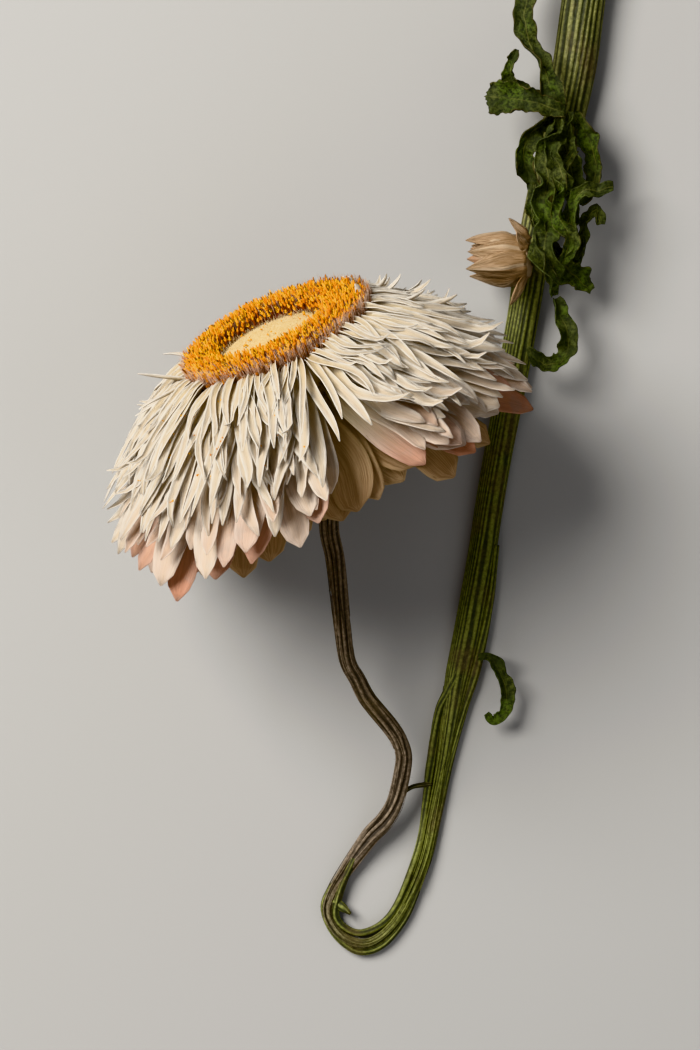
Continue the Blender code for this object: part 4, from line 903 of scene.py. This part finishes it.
class Paint:
    """A material, with short ways to write its nodes."""

    def __init__(self, name, roughness, **settings):
        self.made = bpy.data.materials.new(name)
        self.made.use_nodes = True
        self.tree = self.made.node_tree
        self.shader = self.tree.nodes["Principled BSDF"]
        self.shader.inputs["Roughness"].default_value = roughness
        for key, value in settings.items():
            self.shader.inputs[key.replace("_", " ")].default_value = value

    def put(self, socket, value):
        if isinstance(value, bpy.types.NodeSocket):
            self.tree.links.new(value, socket)
        elif isinstance(value, tuple) and len(value) == 3 and len(socket.default_value) == 4:
            socket.default_value = (*value, 1)
        else:
            socket.default_value = value

    def attribute(self, name):
        node = self.tree.nodes.new("ShaderNodeAttribute")
        node.attribute_name = name
        return node.outputs["Fac"]

    def maths(self, operation, a, b=0.0, c=0.0, clamp=False):
        node = self.tree.nodes.new("ShaderNodeMath")
        node.operation = operation
        node.use_clamp = clamp
        for socket, value in zip(node.inputs, (a, b, c)):
            self.put(socket, value)
        return node.outputs[0]

    def step(self, value, low, high, out_low=0.0, out_high=1.0):
        node = self.tree.nodes.new("ShaderNodeMapRange")
        node.interpolation_type = "SMOOTHSTEP"
        for name, item in (("Value", value), ("From Min", low), ("From Max", high), ("To Min", out_low),
                           ("To Max", out_high)):
            self.put(node.inputs[name], item)
        return node.outputs[0]

    def mix(self, factor, a, b, blend="MIX"):
        node = self.tree.nodes.new("ShaderNodeMix")
        node.data_type = "RGBA"
        node.blend_type = blend
        self.put(node.inputs["Factor"], factor)
        self.put(node.inputs[6], a)
        self.put(node.inputs[7], b)
        return node.outputs[2]

    def vector(self, x, y, z):
        node = self.tree.nodes.new("ShaderNodeCombineXYZ")
        for socket, value in zip(node.inputs, (x, y, z)):
            self.put(socket, value)
        return node.outputs[0]

    def place(self, scale=1000.0):
        """Where a point is, in millimetres."""
        coordinates = self.tree.nodes.new("ShaderNodeTexCoord")
        node = self.tree.nodes.new("ShaderNodeMapping")
        node.inputs["Scale"].default_value = (scale, scale, scale)
        self.tree.links.new(coordinates.outputs["Object"], node.inputs["Vector"])
        return node.outputs[0]

    def noise(self, vector, scale, detail=3.0, roughness=0.55):
        node = self.tree.nodes.new("ShaderNodeTexNoise")
        self.tree.links.new(vector, node.inputs["Vector"])
        node.inputs["Scale"].default_value = scale
        node.inputs["Detail"].default_value = detail
        node.inputs["Roughness"].default_value = roughness
        return node.outputs["Fac"]

    def bump(self, height, distance, strength=1.0, before=None):
        node = self.tree.nodes.new("ShaderNodeBump")
        node.inputs["Distance"].default_value = distance * MM
        node.inputs["Strength"].default_value = strength
        self.tree.links.new(height, node.inputs["Height"])
        if before:
            self.tree.links.new(before, node.inputs["Normal"])
        return node.outputs["Normal"]

    def finish(self, colour, normal=None, roughness=None, see_through=0.0):
        self.put(self.shader.inputs["Base Color"], colour)
        if normal:
            self.tree.links.new(normal, self.shader.inputs["Normal"])
        if roughness:
            self.tree.links.new(roughness, self.shader.inputs["Roughness"])
        if see_through:
            thin = self.tree.nodes.new("ShaderNodeBsdfTranslucent")
            self.put(thin.inputs["Color"], colour)
            both = self.tree.nodes.new("ShaderNodeMixShader")
            both.inputs[0].default_value = see_through
            self.tree.links.new(self.shader.outputs[0], both.inputs[1])
            self.tree.links.new(thin.outputs[0], both.inputs[2])
            output = self.tree.nodes["Material Output"]
            self.tree.links.new(both.outputs[0], output.inputs["Surface"])
        return self.made


def bract_paint():
    paint = Paint("papery_white", 0.5, Specular_IOR_Level=0.3)
    along, across, chance, pink = (paint.attribute(name) for name in ("along", "across", "chance", "pink"))
    shifted = paint.maths("MULTIPLY", chance, 37.0)
    veins = paint.noise(paint.vector(paint.maths("MULTIPLY", across, 6.0),
                                     paint.maths("MULTIPLY", along, 1.6), shifted), 2.2, 4.0, 0.6)
    fine = paint.noise(paint.vector(paint.maths("MULTIPLY", across, 16.0),
                                    paint.maths("MULTIPLY", along, 3.0), shifted), 2.0, 3.0, 0.6)
    patches = paint.noise(paint.place(), 0.22, 3.0)
    side = paint.maths("ABSOLUTE", across)
    ivory = paint.mix(paint.step(along, 0.02, 0.4), (0.50, 0.33, 0.13), (0.84, 0.72, 0.50))
    white = paint.mix(paint.step(along, 0.25, 0.8), ivory, (0.90, 0.83, 0.72))
    # painted shade: the middle of each bract, the groove between its curled edges, is darkened
    groove_shaded = paint.mix(paint.step(side, 0.7, 0.0, 0.0, 0.4), white, (0.70, 0.54, 0.32))
    streaked = paint.mix(paint.maths("MULTIPLY", paint.step(veins, 0.46, 0.62), 0.45), groove_shaded,
                         (0.72, 0.57, 0.36))
    blush = paint.maths("MULTIPLY", pink, paint.step(along, 0.38, 0.95))
    blush = paint.maths("MULTIPLY", blush, paint.step(chance, 0.1, 0.7, 0.3, 1.0), clamp=True)
    rose = paint.mix(paint.step(chance, 0.5, 0.85), (0.80, 0.61, 0.50), (0.62, 0.31, 0.20))
    pinked = paint.mix(blush, streaked, rose)
    light_edge = paint.maths("MULTIPLY", paint.step(side, 0.5, 1.0),
                             paint.maths("SUBTRACT", 0.8, pink, clamp=True))
    edged = paint.mix(light_edge, pinked, (0.95, 0.91, 0.84))
    # painted shade: grey patches for tips folded back into shade
    grey_shade = paint.maths("MULTIPLY", paint.step(patches, 0.56, 0.7), 0.35)
    shade_greyed = paint.mix(grey_shade, edged, (0.50, 0.46, 0.42))
    shade = paint.step(fine, 0.3, 0.75, 0.84, 1.06)
    colour = paint.mix(1.0, shade_greyed, paint.vector(shade, shade, shade), "MULTIPLY")
    normal = paint.bump(veins, 0.25, 0.7)
    normal = paint.bump(fine, 0.10, 0.6, normal)
    return paint.finish(colour, normal, see_through=0.35)


def tan_bract_paint():
    paint = Paint("papery_tan", 0.5, Specular_IOR_Level=0.3)
    along, across, chance, pink = (paint.attribute(name) for name in ("along", "across", "chance", "pink"))
    shifted = paint.maths("MULTIPLY", chance, 37.0)
    veins = paint.noise(paint.vector(paint.maths("MULTIPLY", across, 8.0),
                                     paint.maths("MULTIPLY", along, 1.5), shifted), 2.4, 4.0, 0.6)
    base = paint.mix(paint.step(along, 0.1, 0.9), (0.34, 0.22, 0.12), (0.58, 0.42, 0.25))
    streaked = paint.mix(paint.step(veins, 0.4, 0.62), base, (0.36, 0.24, 0.13))
    edge = paint.step(paint.maths("ABSOLUTE", across), 0.7, 1.0)
    edged = paint.mix(paint.maths("MULTIPLY", edge, 0.5), streaked, (0.62, 0.46, 0.26))
    blush = paint.maths("MULTIPLY", pink, paint.step(along, 0.5, 1.0))
    colour = paint.mix(blush, edged, (0.50, 0.25, 0.14))
    return paint.finish(colour, paint.bump(veins, 0.3, 0.8), see_through=0.15)


def floret_paint():
    paint = Paint("golden_florets", 0.65, Specular_IOR_Level=0.2)
    along, chance, shade = (paint.attribute(name) for name in ("along", "chance", "shade"))
    low = paint.mix(paint.step(along, 0.1, 0.75), (0.07, 0.012, 0.002), (0.34, 0.07, 0.004))
    gold = paint.mix(paint.step(chance, 0.1, 0.9), (0.66, 0.23, 0.004), (0.90, 0.50, 0.03))
    colour = paint.mix(paint.step(along, 0.8, 0.98), low, gold)
    colour = paint.mix(paint.maths("MULTIPLY", paint.attribute("flank"), 0.75), colour, (0.30, 0.085, 0.015))
    dark = paint.maths("MULTIPLY", paint.step(chance, 0.80, 0.9), paint.maths("SUBTRACT", 1.0, shade))
    colour = paint.mix(paint.maths("MULTIPLY", dark, 2.6, clamp=True), colour, (0.10, 0.02, 0.005))
    grain = paint.noise(paint.place(), 4.0, 2.0)
    return paint.finish(colour, paint.bump(grain, 0.08, 0.5), see_through=0.1)


def pappus_paint():
    paint = Paint("pappus", 0.6, Specular_IOR_Level=0.25)
    along, chance = paint.attribute("along"), paint.attribute("chance")
    low = paint.mix(paint.step(along, 0.1, 0.9), (0.26, 0.07, 0.015), (0.46, 0.29, 0.20))
    colour = paint.mix(paint.step(chance, 0.4, 1.0), low, (0.58, 0.44, 0.34))
    return paint.finish(colour, see_through=0.2)


def felt_paint():
    paint = Paint("cream_felted", 0.8, Specular_IOR_Level=0.2)
    along, chance, edge = (paint.attribute(name) for name in ("along", "chance", "edge"))
    grain = paint.noise(paint.place(), 3.2, 4.0, 0.65)
    patches = paint.noise(paint.place(), 0.5, 2.0)
    base = paint.mix(paint.step(patches, 0.35, 0.65), (0.74, 0.56, 0.28), (0.84, 0.69, 0.40))
    fine = paint.mix(paint.step(grain, 0.35, 0.7), (0.60, 0.42, 0.18), base)
    hair = paint.mix(paint.step(along, 0.2, 1.0), fine, (0.90, 0.78, 0.52))
    brown = paint.maths("MULTIPLY", edge, paint.step(chance, 0.2, 0.8))
    colour = paint.mix(brown, hair, (0.28, 0.15, 0.06))
    return paint.finish(colour, paint.bump(grain, 0.25, 0.8), see_through=0.1)


def stem_paint():
    paint = Paint("ribbed_stem", 0.62, Specular_IOR_Level=0.35)
    rib, run, side = paint.attribute("rib"), paint.attribute("run"), paint.attribute("side")
    patches = paint.noise(paint.place(), 0.16, 3.0)
    grain = paint.noise(paint.place(), 1.8, 4.0, 0.65)
    lines = paint.noise(paint.vector(paint.maths("MULTIPLY", side, 26.0),
                                     paint.maths("MULTIPLY", run, 22.0), 0.0), 1.0, 5.0, 0.65)
    brown = paint.step(run, 0.60, 0.71)
    green = paint.step(run, 0.16, 0.3)
    olive = paint.mix(green, (0.165, 0.165, 0.058), (0.150, 0.160, 0.042))
    groove = paint.mix(brown, (0.022, 0.026, 0.008), (0.034, 0.026, 0.018))
    crest = paint.mix(brown, olive, (0.20, 0.155, 0.11))
    height = paint.maths("MULTIPLY_ADD", paint.maths("SUBTRACT", lines, 0.5), 1.6, rib)
    ribbed = paint.mix(paint.step(height, 0.3, 1.0), groove, crest)
    old = paint.mix(paint.maths("MULTIPLY", paint.step(patches, 0.5, 0.68), 0.5), ribbed,
                    (0.085, 0.060, 0.028))
    shade = paint.step(grain, 0.3, 0.7, 0.55, 1.35)
    colour = paint.mix(1.0, old, paint.vector(shade, shade, shade), "MULTIPLY")
    normal = paint.bump(lines, 0.3, 0.7)
    return paint.finish(colour, paint.bump(grain, 0.22, 0.9, normal))


def leaf_paint():
    paint = Paint("crinkled_leaf", 0.6, Specular_IOR_Level=0.35)
    along, across, chance = (paint.attribute(name) for name in ("along", "across", "chance"))
    grain = paint.noise(paint.place(), 1.7, 5.0, 0.7)
    patches = paint.noise(paint.place(), 0.35, 3.0)
    side = paint.maths("ABSOLUTE", across)
    green = paint.mix(paint.step(patches, 0.35, 0.65), (0.034, 0.044, 0.013), (0.086, 0.100, 0.030))
    bright = paint.noise(paint.place(), 0.13, 2.0)
    green = paint.mix(paint.maths("MULTIPLY", paint.step(bright, 0.52, 0.66), 0.7), green, (0.085, 0.135, 0.016))
    net = paint.maths("ABSOLUTE", paint.maths("SUBTRACT", paint.noise(paint.place(), 0.75, 2.0), 0.5))
    netted = paint.mix(paint.step(net, 0.03, 0.0, 0.0, 0.6), green, (0.016, 0.022, 0.006))
    speckled = paint.mix(paint.step(grain, 0.38, 0.60), (0.014, 0.019, 0.005), netted)
    midrib = paint.maths("MULTIPLY", paint.step(side, 0.07, 0.02), paint.step(patches, 0.4, 0.6, 0.1, 0.55))
    ribbed = paint.mix(midrib, speckled, (0.17, 0.17, 0.055))
    edge = paint.step(paint.maths("MULTIPLY_ADD", grain, 0.5, side), 1.16, 1.36)
    brown = paint.mix(paint.step(chance, 0.3, 0.8), (0.11, 0.13, 0.05), (0.14, 0.09, 0.045))
    colour = paint.mix(paint.maths("MULTIPLY", edge, 0.6), ribbed, brown)
    return paint.finish(colour, paint.bump(grain, 0.4, 1.0), see_through=0.08)


def bud_paint():
    paint = Paint("bud_bracts", 0.5, Specular_IOR_Level=0.3)
    along, across, chance, pink = (paint.attribute(name) for name in ("along", "across", "chance", "pink"))
    shifted = paint.maths("MULTIPLY", chance, 37.0)
    veins = paint.noise(paint.vector(paint.maths("MULTIPLY", across, 9.0),
                                     paint.maths("MULTIPLY", along, 1.4), shifted), 2.2, 4.0, 0.6)
    base = paint.mix(paint.step(along, 0.0, 1.0), (0.28, 0.175, 0.090), (0.46, 0.32, 0.20))
    streaked = paint.mix(paint.step(veins, 0.42, 0.62), base, (0.22, 0.135, 0.065))
    ridge = paint.step(paint.maths("ABSOLUTE", across), 0.16, 0.02)
    ridged = paint.mix(paint.maths("MULTIPLY", ridge, 0.4), streaked, (0.62, 0.50, 0.36))
    blush = paint.maths("MULTIPLY", pink, paint.step(along, 0.4, 1.0))
    colour = paint.mix(blush, ridged, (0.56, 0.30, 0.18))
    return paint.finish(colour, paint.bump(veins, 0.3, 0.8), see_through=0.15)


def make_stage():
    """A plain pale floor under the flower, soft lights, and the camera of the photo."""
    bpy.context.scene.view_settings.view_transform = "Khronos PBR Neutral"
    floor = bpy.data.meshes.new("floor")
    size = 2.5
    floor.from_pydata([(-size, -size, 0), (size, -size, 0), (size, size, 0), (-size, size, 0)], [],
                      [(0, 1, 2, 3)])
    ground = bpy.data.objects.new("floor", floor)
    ground.location.z = -FLOOR_DROP * MM
    bpy.context.scene.collection.objects.link(ground)
    paint = Paint("floor_pale", 0.85)
    floor.materials.append(paint.finish((0.34, 0.336, 0.328)))
    lights = (
        ("key", (-0.45, 0.30, 0.60), 0.50, 13.0, (1.0, 0.97, 0.92)),
        ("fill", (0.55, -0.25, 0.55), 0.7, 0.9, (0.96, 0.98, 1.0)),
        ("front", (-0.15, -0.6, 0.5), 0.6, 1.1, (1.0, 0.97, 0.93)),
    )
    for name, place, wide, power, colour in lights:
        lamp = bpy.data.lights.new(name, "AREA")
        lamp.shape = "DISK"
        lamp.size = wide
        lamp.energy = power
        lamp.color = colour
        lit = bpy.data.objects.new(name, lamp)
        lit.location = place
        lit.rotation_mode = "QUATERNION"
        aim = -lit.location
        lit.rotation_quaternion = aim.to_track_quat("-Z", "Y")
        bpy.context.scene.collection.objects.link(lit)
    world = bpy.data.worlds.new("studio")
    world.use_nodes = True
    world.node_tree.nodes["Background"].inputs["Color"].default_value = (0.98, 0.97, 1.0, 1)
    world.node_tree.nodes["Background"].inputs["Strength"].default_value = 0.18
    bpy.context.scene.world = world
    lens = bpy.data.cameras.new("camera")
    lens.sensor_fit = "VERTICAL"
    lens.sensor_height = SENSOR
    lens.lens = SENSOR * PHOTO_SCALE / 1050
    lens.clip_start = 0.01
    camera = bpy.data.objects.new("camera", lens)
    camera.location = (-MIDDLE[0] * MM, -MIDDLE[1] * MM, CAMERA_HEIGHT * MM)
    bpy.context.scene.collection.objects.link(camera)
    bpy.context.scene.camera = camera


make_stage()
floret_material = floret_paint()
felt_material = felt_paint()
_, bract_grids = make_bracts(bract_paint())
make_outer_bracts(tan_bract_paint())
make_florets(floret_material)
make_pappus(pappus_paint())
make_disc_centre(felt_material)
make_stem(stem_paint())
make_bud(bud_paint())
make_leaves(leaf_paint())
make_pollen(floret_material, bract_grids)

bpy.context.view_layer.update()
